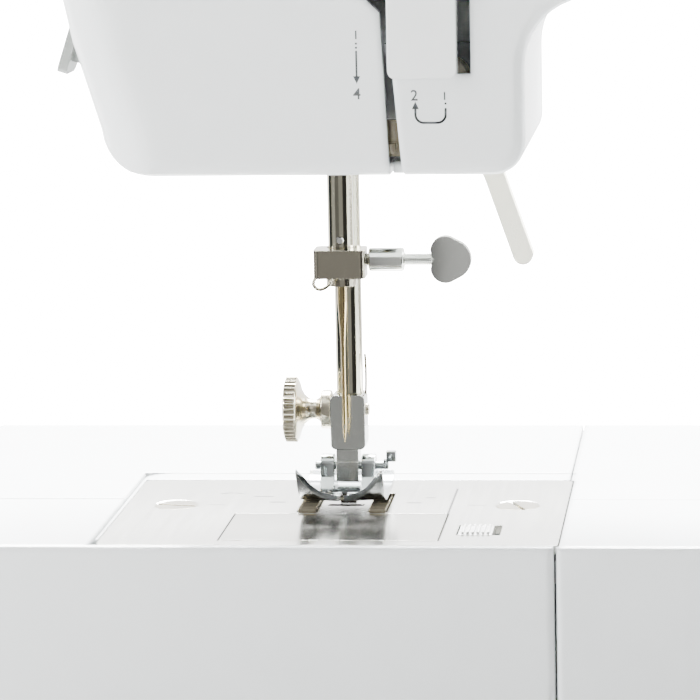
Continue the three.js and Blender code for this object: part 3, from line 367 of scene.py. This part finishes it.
def add_bump(tree, surface, height, strength, distance, edge=0.0):
    """Bump on a normal whose sharp edges read as rounded by a radius."""
    bump = tree.nodes.new("ShaderNodeBump")
    bump.inputs["Strength"].default_value = strength
    bump.inputs["Distance"].default_value = distance
    link(tree, height, bump.inputs["Height"])
    if edge:
        rounded = tree.nodes.new("ShaderNodeBevel")
        rounded.samples = 6
        rounded.inputs["Radius"].default_value = edge
        link(tree, rounded.outputs[0], bump.inputs["Normal"])
    link(tree, bump.outputs[0], surface.inputs["Normal"])


def plastic(name, colour, rough, grain=0.06, dust=0.25, edge=0.0004, coat=0.0, marks=(), ink=DARK_LINE):
    material, tree, place, surface = start_material(name)
    mottle = use(tree, "mottle", place, Size=60.0)
    darker = tuple(c * 0.93 for c in colour)
    tint = mixed(tree, mottle.outputs["Cloud"], darker, colour)
    if dust:
        dusty = use(tree, "dust", place, Amount=dust)
        tint = mixed(tree, dusty.outputs["Mask"], tint, DUST)
    for a, b, half_width in marks:
        line = use(tree, "stroke", place, From=a, To=b, Half_Width=half_width)
        tint = mixed(tree, line.outputs["Mask"], tint, ink)
    link(tree, tint, surface.inputs["Base Color"])
    link(tree, between(tree, mottle.outputs["Grain"], rough * 0.8, rough * 1.25), surface.inputs["Roughness"])
    surface.inputs["IOR"].default_value = 1.5
    surface.inputs["Coat Weight"].default_value = coat
    surface.inputs["Coat Roughness"].default_value = 0.08
    add_bump(tree, surface, mottle.outputs["Grain"], grain, 0.0002, edge)
    return material


def metal(
    name, colour, rough, lines=0.12, stretch=(1, 1, 1), edge=0.00025, marks=(), tarnish=0.12, spread=0.0
):
    """Polished or brushed metal: stretch draws the brushing out and spread smears its highlights."""
    material, tree, place, surface = start_material(name)
    mottle = use(tree, "mottle", place, Size=90.0)
    brushed = use(tree, "brushed", place, Stretch=stretch)
    dull = tuple(c * (1 - tarnish) for c in colour)
    tint = mixed(tree, mottle.outputs["Cloud"], dull, colour)
    for a, b, half_width in marks:
        line = use(tree, "stroke", place, From=a, To=b, Half_Width=half_width)
        tint = mixed(tree, line.outputs["Mask"], tint, DARK_LINE)
    link(tree, tint, surface.inputs["Base Color"])
    link(tree, between(tree, brushed.outputs["Lines"], rough * 0.6, rough * 1.4), surface.inputs["Roughness"])
    surface.inputs["Metallic"].default_value = 1.0
    surface.inputs["Anisotropic"].default_value = spread
    add_bump(tree, surface, brushed.outputs["Lines"], lines, 0.0001, edge)
    return material


def clear(name, colour, rough):
    material, tree, place, surface = start_material(name)
    mottle = use(tree, "mottle", place, Size=70.0)
    tint = mixed(tree, mottle.outputs["Cloud"], tuple(c * 0.96 for c in colour), colour)
    link(tree, tint, surface.inputs["Base Color"])
    link(tree, between(tree, mottle.outputs["Grain"], rough * 0.5, rough * 1.6), surface.inputs["Roughness"])
    surface.inputs["Transmission Weight"].default_value = 0.85
    surface.inputs["IOR"].default_value = 1.49
    add_bump(tree, surface, mottle.outputs["Grain"], 0.03, 0.0001)
    return material


def line(x0, y0, x1, y1, half_width):
    """A line engraved in the bed's top, in millimetres from the needle."""
    return at(x0, y0, BED), at(x1, y1, BED), half_width * MM


plate_marks = [
    line(-24.8, -37.9, 24.8, -37.9, 0.2),
    line(24.8, -37.9, 24.8, -9.4, 0.18),
    line(-24.8, -37.9, -24.8, -9.4, 0.07),
    line(24.6, -9.4, 24.6, 18.5, 0.22),
    line(-22.5, 9.3, -18.5, 9.3, 0.35),
    line(-18.1, 3.0, -14.9, 3.0, 0.4),
    line(14.4, 2.5, 17.0, 2.5, 0.4),
    line(18.1, 8.2, 20.0, 8.2, 0.3),
    line(-32.5, 0.0, -28.5, 0.0, 0.16),
    line(28.5, 0.0, 32.5, 0.0, 0.16),
    line(-31.0, 12.4, -28.8, 13.4, 0.3),
    line(-27.8, 13.2, -26.2, 12.6, 0.25),
]
bed_marks = [line(51.2, 6.4, 158, 6.4, 0.16)]
materials = {
    "white_cover": plastic("white_plastic", WHITE, 0.2, grain=0.02, dust=0.12, edge=0.0022, coat=0.35),
    "grey_plastic": plastic("grey_plastic", (0.36, 0.38, 0.39), 0.42, grain=0.12),
    "cream_plastic": plastic("cream_plastic", (0.78, 0.76, 0.65), 0.45, grain=0.15),
    "dark_plastic": plastic("dark_plastic", (0.025, 0.026, 0.028), 0.4, grain=0.12),
    "rubber": plastic("rubber", (0.018, 0.018, 0.019), 0.8, grain=0.4, dust=0.5),
    "chrome": metal("chrome", (0.60, 0.61, 0.57), 0.12, lines=0.05, stretch=(3, 3, 0.4), spread=0.2),
    "steel": metal("ground_steel", (0.42, 0.39, 0.31), 0.18, lines=0.1, stretch=(0.6, 8, 8), spread=0.4),
    "nickel": metal("warm_nickel", (0.52, 0.47, 0.35), 0.2, lines=0.1, stretch=(6, 1, 6), tarnish=0.3),
    "cast_metal": metal("cast_metal", (0.5, 0.52, 0.53), 0.5, lines=0.5, stretch=(14, 14, 14), tarnish=0.25),
    "clear_plastic": clear("clear_plastic", (0.93, 0.95, 0.94), 0.06),
    "motor_metal": plastic("motor_enamel", (0.06, 0.065, 0.07), 0.35, grain=0.1),
}
bed_ink = (0.28, 0.29, 0.29)
bed_white = plastic(
    "bed_white", WHITE, 0.2, grain=0.02, dust=0.12, edge=0.0022, coat=0.35, marks=bed_marks, ink=bed_ink
)
plate_metal = metal(
    "plate_metal", (0.70, 0.70, 0.66), 0.2, lines=0.05, stretch=(12, 0.6, 12), marks=plate_marks, spread=0.3
)
bar_steel = metal("bar_steel", (0.53, 0.51, 0.40), 0.11, lines=0.04, stretch=(8, 8, 0.5), tarnish=0.25)
needle_metal = metal("needle_metal", (0.42, 0.33, 0.17), 0.2, lines=0.05, stretch=(6, 6, 0.5), tarnish=0.2)
cutter_plastic = plastic("cutter_plastic", (0.17, 0.18, 0.17), 0.4, grain=0.1)
# the tab's white is lighter than the head's: painted light, so the raised tab stands apart from the front
tab_painted_light_white = plastic("tab_painted_light_white", (0.80, 0.82, 0.82), 0.18, grain=0.02, dust=0.08, edge=0.0006, coat=0.4)
latch_metal = metal("latch_metal", (0.86, 0.86, 0.84), 0.3, lines=0.05, stretch=(12, 1, 12))
cover_metal = metal("cover_metal", (0.55, 0.545, 0.50), 0.16, lines=0.06, stretch=(12, 0.5, 12), spread=0.5)


# ------------------------------------------------------------------ CAD pieces that keep their shape
# Each takes its own material where one is listed, else its slot's material. A small geometry tree shades it
# smooth with crisp edges.
def crisp_tree():
    tree = bpy.data.node_groups.new("crisp", "GeometryNodeTree")
    tree.interface.new_socket("Geometry", in_out="INPUT", socket_type="NodeSocketGeometry")
    limit = tree.interface.new_socket("Edge Angle", in_out="INPUT", socket_type="NodeSocketFloat")
    limit.default_value = math.radians(28)
    tree.interface.new_socket("Geometry", in_out="OUTPUT", socket_type="NodeSocketGeometry")
    inside, outside = tree.nodes.new("NodeGroupInput"), tree.nodes.new("NodeGroupOutput")
    faces = tree.nodes.new("GeometryNodeSetShadeSmooth")
    edges = tree.nodes.new("GeometryNodeSetShadeSmooth")
    edges.domain = "EDGE"
    edges.inputs["Shade Smooth"].default_value = False
    angle = tree.nodes.new("GeometryNodeInputMeshEdgeAngle")
    sharp = tree.nodes.new("FunctionNodeCompare")
    sharp.operation = "GREATER_THAN"
    link(tree, inside.outputs["Geometry"], faces.inputs["Geometry"])
    link(tree, faces.outputs[0], edges.inputs["Geometry"])
    link(tree, angle.outputs["Unsigned Angle"], sharp.inputs[0])
    link(tree, inside.outputs["Edge Angle"], sharp.inputs[1])
    link(tree, sharp.outputs[0], edges.inputs["Selection"])
    link(tree, edges.outputs[0], outside.inputs["Geometry"])
    return tree


crisp = crisp_tree()


def shade(obj):
    modifier = obj.modifiers.new("crisp", "NODES")
    modifier.node_group = crisp


slot_of = {row["node"]: row["material_slot"] for row in frame["record"]["subparts"]}
own_material = {
    "front_cover": bed_white,
    "needle_plate": plate_metal,
    "bobbin_cover": cover_metal,
    "needle_bar": bar_steel,
    "presser_bar": bar_steel,
    "needle": needle_metal,
    "plate_screw_left": materials["steel"],
    "plate_screw_right": materials["steel"],
    "threading_tab": tab_painted_light_white,
    "thread_cutter": cutter_plastic,
    "cover_latch": latch_metal,
}
for name, obj in nodes.items():
    obj.data.materials.clear()
    obj.data.materials.append(own_material.get(name, materials[slot_of[name]]))
    shade(obj)


# ------------------------------------------------------------------ presser foot
# A polished sole with two toes that curl up to their outer tips, a needle opening, ears and a cross pin.
# The real one is pressed from sheet steel and chromed. It tilts on its pin, which the holder grips.
def add_object(name, mesh, body, slot, material, *replaced, bevel=0.0, rim=None):
    """A piece that rides on a body. Its rounded edges, bevel in mm, may take a second material, the rim."""
    obj = bpy.data.objects.new(name, mesh)
    bpy.context.scene.collection.objects.link(obj)
    mesh.materials.clear()
    mesh.materials.append(material)
    if bevel:
        rounding = obj.modifiers.new("edges", "BEVEL")
        rounding.width = bevel * MM
        rounding.segments = 3
        rounding.limit_method = "ANGLE"
        rounding.angle_limit = math.radians(32)
        if rim is not None:
            mesh.materials.append(rim)
            rounding.material = len(mesh.materials) - 1
    shade(obj)
    if replaced:
        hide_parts(*replaced)
    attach(obj, body)


def prism_mesh(name, points, axis, low, high):
    """An outline in mm pushed along an axis: (y, z) along x, (x, z) along y or (x, y) along z."""
    place = {
        "x": lambda a, b, c: at(c, a, b),
        "y": lambda a, b, c: at(a, c, b),
        "z": lambda a, b, c: at(a, b, c),
    }[axis]
    count = len(points)
    corners = [place(a, b, c) for c in (low, high) for a, b in points]
    faces = [tuple(range(count)), tuple(range(count, 2 * count))]
    faces += [(i, (i + 1) % count, (i + 1) % count + count, i + count) for i in range(count)]
    mesh = bpy.data.meshes.new(name)
    mesh.from_pydata(corners, [], faces)
    tidy = bmesh.new()
    tidy.from_mesh(mesh)
    bmesh.ops.recalc_face_normals(tidy, faces=tidy.faces)
    tidy.to_mesh(mesh)
    tidy.free()
    return mesh


def lathe_mesh(name, profile, centre, axis, steps=64):
    """A profile of (radius, distance along the axis) in mm, turned about an axis through a centre in mm."""
    turned = bmesh.new()
    rings = []
    for radius, along in profile:
        ring = []
        for i in range(steps if radius else 1):
            angle = 2 * math.pi * i / steps
            u, v = radius * math.cos(angle), radius * math.sin(angle)
            offset = {"x": (along, u, v), "y": (u, along, v), "z": (u, v, along)}[axis]
            ring.append(turned.verts.new(at(*(a + b for a, b in zip(centre, offset)))))
        rings.append(ring)
    for lower, upper in zip(rings, rings[1:]):
        for i in range(steps):
            j = (i + 1) % steps
            below = [lower[i % len(lower)], lower[j % len(lower)]]
            above = [upper[j % len(upper)], upper[i % len(upper)]]
            loop = list(dict.fromkeys(below + above))
            if len(loop) > 2:
                turned.faces.new(loop)
    bmesh.ops.recalc_face_normals(turned, faces=turned.faces)
    mesh = bpy.data.meshes.new(name)
    turned.to_mesh(mesh)
    turned.free()
    return mesh


def joined(name, *meshes):
    """One mesh from several."""
    whole = bmesh.new()
    for mesh in meshes:
        whole.from_mesh(mesh)
    made = bpy.data.meshes.new(name)
    whole.to_mesh(made)
    whole.free()
    return made


def baked(work):
    """The mesh that an object's modifiers or curve make. The object itself is removed."""
    graph = bpy.context.evaluated_depsgraph_get()
    made = bpy.data.meshes.new_from_object(work.evaluated_get(graph))
    bpy.data.objects.remove(work)
    return made


def carved(name, mesh, *cutters):
    """A mesh with other meshes cut out of it."""
    work = bpy.data.objects.new(name + "_work", mesh)
    bpy.context.scene.collection.objects.link(work)
    tools = []
    for cutter in cutters:
        tool = bpy.data.objects.new(name + "_tool", cutter)
        bpy.context.scene.collection.objects.link(tool)
        cut = work.modifiers.new("cut", "BOOLEAN")
        cut.operation = "DIFFERENCE"
        cut.solver = "EXACT"
        cut.object = tool
        tools.append(tool)
    made = baked(work)
    for tool in tools:
        bpy.data.objects.remove(tool)
    made.name = name
    return made


def arc(centre, radius, start, stop, count):
    """Points on a circle between two angles in degrees."""
    angles = [math.radians(start + (stop - start) * i / (count - 1)) for i in range(count)]
    return [(centre[0] + radius * math.cos(a), centre[1] + radius * math.sin(a)) for a in angles]


SOLE = BED + 2.2  # height of the sole's flat underside, a little above the feed teeth
CURL_START, TOE_TIP = -3.6, -14.0  # y where the toes start to rise and where they end
FOOT_HALF = 10.0  # half of the foot's width
SHEET = 1.25  # thickness of the sole
TIP_RISE, CORNER_RISE = 2.1, 6.3  # the toes' rise in the middle, and what their outer corners add
NOTCH_Y, NOTCH_RADIUS = -31.9, 20.5  # the round hollow in the foot's front edge
HOLE_HALF, HOLE_RADIUS = 2.8, 1.9  # the needle opening's slot
TOE_GAP_HALF = 0.75
PIN_Y, PIN_Z = 7.0, BED + 8.0
EAR_RADIUS, EAR_WIDTH = 2.7, 3.2


def curl(x, y):
    """Height of the sole's underside: the toes rise forwards, and more towards their outer tips."""
    t = max(0.0, (CURL_START - y) / (CURL_START - TOE_TIP))
    return SOLE + t * t * (TIP_RISE + CORNER_RISE * (x / FOOT_HALF) ** 2)


def sole_outline(x):
    """The sole's (y, z) section at x: flat, with a curled front and a raised heel."""
    heel_under = [(14.0, SOLE + 2.2), (12.5, SOLE + 1.2), (11.0, SOLE + 0.5), (9.5, SOLE + 0.1), (8.0, SOLE)]
    heel_upper = [(8.0, SOLE + SHEET), (9.5, SOLE + 1.4), (11.0, SOLE + 1.8)]
    heel_upper += [(12.5, SOLE + 2.5), (13.4, SOLE + 3.3)]
    steps = [CURL_START + (TOE_TIP - CURL_START) * i / 22 for i in range(23)]
    under = heel_under + [(y, curl(x, y)) for y in steps]
    upper = []
    for y in reversed(steps):
        slope = (curl(x, y + 0.01) - curl(x, y - 0.01)) / 0.02
        long = math.hypot(1, slope)
        upper.append((y - slope / long * SHEET, curl(x, y) + SHEET / long))
    return under + upper + heel_upper


def rectangle(first, second):
    """The corners of a rectangle, from its two spans."""
    return [(first[0], second[0]), (first[1], second[0]), (first[1], second[1]), (first[0], second[1])]


def lofted(name, stations):
    """A closed solid through (x, [(y, z), ...]) outlines, in mm."""
    work = bmesh.new()
    rings = [[work.verts.new(at(x, y, z)) for y, z in outline] for x, outline in stations]
    for left, right in zip(rings, rings[1:]):
        for i in range(len(left)):
            j = (i + 1) % len(left)
            work.faces.new([left[i], left[j], right[j], right[i]])
    work.faces.new(rings[0])
    work.faces.new(rings[-1])
    bmesh.ops.recalc_face_normals(work, faces=work.faces)
    mesh = bpy.data.meshes.new(name)
    work.to_mesh(mesh)
    work.free()
    return mesh


across = [FOOT_HALF * (i / 14 - 1) for i in range(29)]
sole_blank = lofted("foot_blank", [(x, sole_outline(x)) for x in across])
notch = prism_mesh("notch", arc((0, NOTCH_Y), NOTCH_RADIUS, 0, 354, 60), "z", BED - 5, BED + 25)
slot_outline = arc((HOLE_HALF, 0), HOLE_RADIUS, -90, 90, 12) + arc((-HOLE_HALF, 0), HOLE_RADIUS, 90, 270, 12)
needle_hole = prism_mesh("needle_hole", slot_outline, "z", BED - 5, BED + 9)
toe_gap = prism_mesh("toe_gap", rectangle((-TOE_GAP_HALF, TOE_GAP_HALF), (-20, 0)), "z", BED - 5, BED + 25)
sole_mesh = carved("foot_sole", sole_blank, notch, needle_hole, toe_gap)
ear_outline = [(1.6, SOLE + 0.9), (12.6, SOLE + 0.9), (11.2, SOLE + 3.4), (PIN_Y + EAR_RADIUS, PIN_Z)]
ear_outline += arc((PIN_Y, PIN_Z), EAR_RADIUS, 0, 180, 14) + [(PIN_Y - 2.9, SOLE + 3.6)]
ears = [prism_mesh("ear", ear_outline, "x", x, x + EAR_WIDTH) for x in (-2 * EAR_WIDTH, EAR_WIDTH)]
pin_profile = [(0, -7.9), (0.8, -7.9), (1.0, -7.6), (1.0, 8.6), (0.8, 8.9), (0, 8.9)]
pin = lathe_mesh("pin", pin_profile, (0, PIN_Y, PIN_Z), "x", 32)
tab_outline = rectangle((PIN_Y - 1, PIN_Y + 1), (PIN_Z + 1.0, PIN_Z + 3.4))
tab = prism_mesh("pin_tab", tab_outline, "x", 8.9, 11.2)
link_outline = rectangle((PIN_Y - 0.8, PIN_Y + 0.8), (PIN_Z - 0.8, PIN_Z + 1.4))
tab_link = prism_mesh("tab_link", link_outline, "x", 8.2, 9.4)
foot_mesh = joined("presser_foot_fine", *ears, pin, tab, tab_link)
foot_chrome = metal("foot_chrome", (0.46, 0.49, 0.48), 0.12, lines=0.03, stretch=(2, 2, 2), edge=0.0)
add_object("presser_foot_fine", foot_mesh, "presser_foot", "chrome", foot_chrome, "presser_foot", bevel=0.22)
# the sole's chrome is darker than the ears': a painted dark reflection
sole_chrome_painted_dark = metal("sole_chrome_painted_dark", (0.30, 0.32, 0.325), 0.16, lines=0.03, stretch=(2, 2, 2), edge=0.0)
# near-black metal for the sole's underside: painted shade and painted dark reflection
sole_painted_shade = metal("sole_painted_shade", (0.03, 0.032, 0.033), 0.24, lines=0.03, stretch=(2, 2, 2), edge=0.0)
# the brighter chrome on the sole's rounded edges is a painted highlight along its rim
chrome = materials["chrome"]
add_object("presser_foot_sole", sole_mesh, "presser_foot", "chrome", sole_chrome_painted_dark, bevel=0.26, rim=chrome)
# the faces that look down take the darker metal: painted shade and painted dark reflection on the sole's
# underside
LOOKS_DOWN = -0.3
sole_mesh.materials.append(sole_painted_shade)
for face in sole_mesh.polygons:
    if face.normal.z < LOOKS_DOWN:
        face.material_index = len(sole_mesh.materials) - 1


# ------------------------------------------------------------------ knurls
# A geometry tree repeats a small block round a ring. The result is turned into a plain mesh.
def knurl_tree():
    tree = bpy.data.node_groups.new("knurl", "GeometryNodeTree")
    inputs = {
        "Count": "NodeSocketInt",
        "Radius": "NodeSocketFloat",
        "Rib": "NodeSocketVector",
        "Tilt": "NodeSocketVector",
        "Material": "NodeSocketMaterial",
    }
    for label, kind in inputs.items():
        tree.interface.new_socket(label, in_out="INPUT", socket_type=kind)
    tree.interface.new_socket("Geometry", in_out="OUTPUT", socket_type="NodeSocketGeometry")
    inside, outside = tree.nodes.new("NodeGroupInput"), tree.nodes.new("NodeGroupOutput")
    rib = tree.nodes.new("GeometryNodeMeshCube")
    link(tree, inside.outputs["Rib"], rib.inputs["Size"])
    places = tree.nodes.new("GeometryNodeMeshCircle")
    link(tree, inside.outputs["Count"], places.inputs["Vertices"])
    link(tree, inside.outputs["Radius"], places.inputs["Radius"])
    index = tree.nodes.new("GeometryNodeInputIndex")
    share = math_node(tree, "DIVIDE", index.outputs[0], inside.outputs["Count"])
    turned = tree.nodes.new("ShaderNodeCombineXYZ")
    link(tree, math_node(tree, "MULTIPLY", share, 2 * math.pi), turned.inputs["Z"])
    tilted = vector_node(tree, "ADD", turned.outputs[0], inside.outputs["Tilt"])
    copies = tree.nodes.new("GeometryNodeInstanceOnPoints")
    link(tree, tilted, copies.inputs["Rotation"])
    link(tree, places.outputs["Mesh"], copies.inputs["Points"])
    link(tree, rib.outputs["Mesh"], copies.inputs["Instance"])
    real = tree.nodes.new("GeometryNodeRealizeInstances")
    link(tree, copies.outputs[0], real.inputs[0])
    paint = tree.nodes.new("GeometryNodeSetMaterial")
    link(tree, real.outputs[0], paint.inputs["Geometry"])
    link(tree, inside.outputs["Material"], paint.inputs["Material"])
    link(tree, paint.outputs[0], outside.inputs["Geometry"])
    return tree


knurl_nodes = knurl_tree()


def knurl_mesh(name, matrix, material, **values):
    """The ring of ribs as a plain mesh, moved by a matrix."""
    work = bpy.data.objects.new(name, bpy.data.meshes.new(name))
    bpy.context.scene.collection.objects.link(work)
    modifier = work.modifiers.new("knurl", "NODES")
    modifier.node_group = knurl_nodes
    sockets = {s.name: s.identifier for s in knurl_nodes.interface.items_tree if s.in_out == "INPUT"}
    modifier[sockets["Material"]] = material
    for label, value in values.items():
        modifier[sockets[label]] = value
    made = baked(work)
    made.transform(matrix)
    return made


def on_x(x, y, z):
    """Turns a ring that lies about z to lie about x, at a place in mm."""
    return Matrix.Translation(at(x, y, z)) @ Matrix.Rotation(math.radians(90), 4, "Y")


# ------------------------------------------------------------------ presser foot's thumb screw
# A knurled nickel disc on a waisted neck, straight out of the holder's left side. It is turned in one
# piece and plated, and it clamps the holder to the presser bar.
FOOT_SCREW = (0, 9.0, BED + 21)
DISC = 7.25  # the disc's radius
RIM_INNER, RIM_OUTER = -12.1, -14.6  # the flat rim that carries the knurl
KNURL_RIB = 0.62
screw_nickel = metal(
    "screw_nickel", (0.60, 0.55, 0.43), 0.2, lines=0.08, stretch=(1, 8, 8), edge=0.0, tarnish=0.3
)
stem_profile = [(0, 4.9), (1.3, 4.9), (1.5, 4.6), (1.5, -3.9)]
collar_profile = [(4.3, -3.9), (4.5, -4.1), (4.5, -6.0), (4.3, -6.3)]
neck_profile = [(3.0, -6.6), (2.4, -7.4), (2.3, -8.4), (2.7, -9.4), (3.6, -10.4), (5.0, -11.2), (6.2, -11.5)]
rim_profile = [
    (DISC - 0.3, RIM_INNER + 0.3), (DISC, RIM_INNER), (DISC, RIM_OUTER), (DISC - 0.3, RIM_OUTER - 0.3),
    (6.0, RIM_OUTER - 0.3), (5.6, RIM_OUTER), (1.2, -14.5), (0, -14.5),
]
screw_profile = stem_profile + collar_profile + neck_profile + rim_profile
disc = lathe_mesh("foot_screw_body", screw_profile, FOOT_SCREW, "x", 72)
knurl = knurl_mesh(
    "foot_screw_knurl",
    on_x((RIM_INNER + RIM_OUTER) / 2, *FOOT_SCREW[1:]),
    screw_nickel,
    Count=36,
    Radius=DISC * MM,
    Rib=(KNURL_RIB * MM, KNURL_RIB * MM, 2.6 * MM),
    Tilt=(0, 0, math.radians(45)),
)
foot_screw = joined("foot_screw_fine", disc, knurl)
add_object("foot_screw_fine", foot_screw, "foot_screw", "nickel", screw_nickel, "foot_screw", bevel=0.05)


# ------------------------------------------------------------------ needle clamp's screw
# A bright barrel, a bare thread and a flat thumb head. It is turned steel with its end pressed flat, and
# it holds the needle in the clamp.
CLAMP = (0, 0, BED + 57.8)
screw_chrome = metal("screw_chrome", (0.86, 0.87, 0.82), 0.14, lines=0.05, stretch=(2, 2, 2), edge=0.0)
THREAD_START, THREAD_PITCH, THREAD_TURNS = 14.7, 0.5, 13
THREAD_ROOT, THREAD_CREST = 1.2, 1.5
HEAD_START = 20.9  # where the flat thumb head begins
shank_profile = [(0, 3.5), (1.4, 3.5), (1.4, 6.4), (2.5, 6.4), (2.75, 6.7), (2.75, 14.2), (2.45, 14.6)]
barrel = lathe_mesh("barrel", shank_profile + [(1.25, 14.6), (1.25, 21.6), (0, 21.6)], CLAMP, "x", 48)
thread_profile = [(0, THREAD_START)]
for i in range(THREAD_TURNS):
    turn_start = THREAD_START + THREAD_PITCH * i
    thread_profile += [(THREAD_ROOT, turn_start), (THREAD_CREST, turn_start + THREAD_PITCH / 2)]
thread_end = THREAD_START + THREAD_PITCH * THREAD_TURNS
thread_profile += [(THREAD_ROOT, thread_end), (0, thread_end)]
thread = lathe_mesh("clamp_thread", thread_profile, CLAMP, "x", 32)
head_outline = arc((25.6, CLAMP[2]), 4.6, 62, -62, 22) + arc((24.2, CLAMP[2] - 2.0), 3.5, -70, -176, 10)
head_outline += [(HEAD_START, CLAMP[2] - 1.3), (HEAD_START, CLAMP[2] + 1.3)]
head_outline += arc((24.2, CLAMP[2] + 2.0), 3.5, 176, 70, 10)
head_mesh = prism_mesh("thumb_head", head_outline, "y", -1.2, 1.2)
clamp_screw = joined("needle_clamp_screw_fine", barrel, thread, head_mesh)
add_object(
    "needle_clamp_screw_fine",
    clamp_screw,
    "needle_clamp_screw",
    "nickel",
    screw_chrome,
    "needle_clamp_screw",
    bevel=0.18,
)


# ------------------------------------------------------------------ small fittings at the needle
# A wire beside the presser bar and the needle bar's little lock screw. Both are steel, and each rides on
# its own bar.
def wire_mesh(name, points, radius):
    """A round wire through points in mm."""
    curve = bpy.data.curves.new(name, "CURVE")
    curve.dimensions = "3D"
    curve.bevel_depth = radius * MM
    curve.bevel_resolution = 2
    curve.use_fill_caps = True
    spline = curve.splines.new("NURBS")
    spline.points.add(len(points) - 1)
    for point, place in zip(spline.points, points):
        point.co = (*at(*place), 1)
    spline.use_endpoint_u = True
    spline.order_u = 4
    work = bpy.data.objects.new(name, curve)
    bpy.context.scene.collection.objects.link(work)
    return baked(work)


wire_points = [(4.2, 8, BED + 24.8), (4.4, 7.6, BED + 27), (4.5, 7.4, BED + 31), (4.2, 7.8, BED + 34.4)]
add_object("bar_wire", wire_mesh("bar_wire", wire_points, 0.3), "presser_bar", "steel", materials["steel"])
lock_profile = [(0, -3.25), (0.7, -3.25), (0.9, -3.05), (0.9, -2.6), (0, -2.6)]
lock = lathe_mesh("bar_lock_screw", lock_profile, (0.1, 0, BED + 62.6), "y", 24)
add_object("bar_lock_screw", lock, "needle_bar", "steel", screw_chrome)


# ------------------------------------------------------------------ printed threading marks
# Generic numbers and arrows in dark grey on the head's front, a few hundredths of a millimetre proud.
ink = plastic("ink", (0.05, 0.052, 0.056), 0.5, grain=0.05, dust=0.05, edge=0.0)
FACE_Y = -43.7  # the head's front
PRINT = (FACE_Y - 0.03, FACE_Y + 0.05)  # how far a printed mark reaches, proud and sunk
TEXT_SIZE = 1.38  # font size for a figure one unit high


def print_text(name, body, x, z, height):
    """A number on the head's front whose foot is centred on x, z."""
    text = bpy.data.curves.new(name, "FONT")
    text.body = body
    text.size = height * MM * TEXT_SIZE
    text.align_x = "CENTER"
    text.extrude = 0.01 * MM
    text.offset = 0.04 * MM
    text.resolution_u = 4
    work = bpy.data.objects.new(name, text)
    bpy.context.scene.collection.objects.link(work)
    made = baked(work)
    made.transform(Matrix.Translation(at(x, FACE_Y - 0.02, z)) @ Matrix.Rotation(math.radians(90), 4, "X"))
    return made


def print_dot(x, z, radius):
    return prism_mesh("dot", arc((x, z), radius, 0, 330, 12), "y", *PRINT)


def print_stroke(points, width):
    """A printed line through (x, z) points."""
    parts = []
    for (x0, z0), (x1, z1) in zip(points, points[1:]):
        long = math.hypot(x1 - x0, z1 - z0)
        across = (-(z1 - z0) / long * width / 2, (x1 - x0) / long * width / 2)
        outline = [(x0 + across[0], z0 + across[1]), (x1 + across[0], z1 + across[1]),
                   (x1 - across[0], z1 - across[1]), (x0 - across[0], z0 - across[1])]
        parts.append(prism_mesh("stroke", outline, "y", *PRINT))
    parts += [print_dot(x, z, width / 2) for x, z in points]
    return parts


def arrow_head(x, z, up, size):
    """An arrow head on the head's front: up is 1 or -1."""
    half = size * 0.6
    return prism_mesh("arrow_head", [(x - half, z), (x + half, z), (x, z + size * 1.3 * up)], "y", *PRINT)


LEFT_MARK = 9.2
marks_left = [
    print_text("one", "1", LEFT_MARK, BED + 112.4, 1.9),
    print_text("four", "4", LEFT_MARK, BED + 99.3, 2.5),
]
marks_left += [print_dot(LEFT_MARK, BED + 111.4, 0.25), print_dot(LEFT_MARK, BED + 110.5, 0.25)]
marks_left += print_stroke([(LEFT_MARK, BED + 109.7), (LEFT_MARK, BED + 104)], 0.42)
marks_left.append(arrow_head(LEFT_MARK, BED + 104.3, -1, 1.3))
left = joined("threading_marks_left", *marks_left)
add_object("threading_marks_left", left, "machine", "dark_plastic", ink)

turn_line = [(21.9, BED + 97.4), (21.9, BED + 95.8), *arc((23.7, BED + 95.8), 1.8, 190, 262, 6)]
turn_line += [(26.6, BED + 94.0), *arc((26.7, BED + 95.8), 1.8, -80, -10, 6), (28.5, BED + 97.0)]
marks_right = [
    print_text("two", "2", 21.7, BED + 98.9, 2.4),
    print_text("one_more", "1", 28.3, BED + 99.0, 1.8),
]
marks_right += print_stroke(turn_line, 0.5)
marks_right.append(arrow_head(21.9, BED + 97.0, 1, 1.3))
marks_right.append(print_dot(28.5, BED + 98.2, 0.25))
right = joined("threading_marks_right", *marks_right)
add_object("threading_marks_right", right, "machine", "dark_plastic", ink)
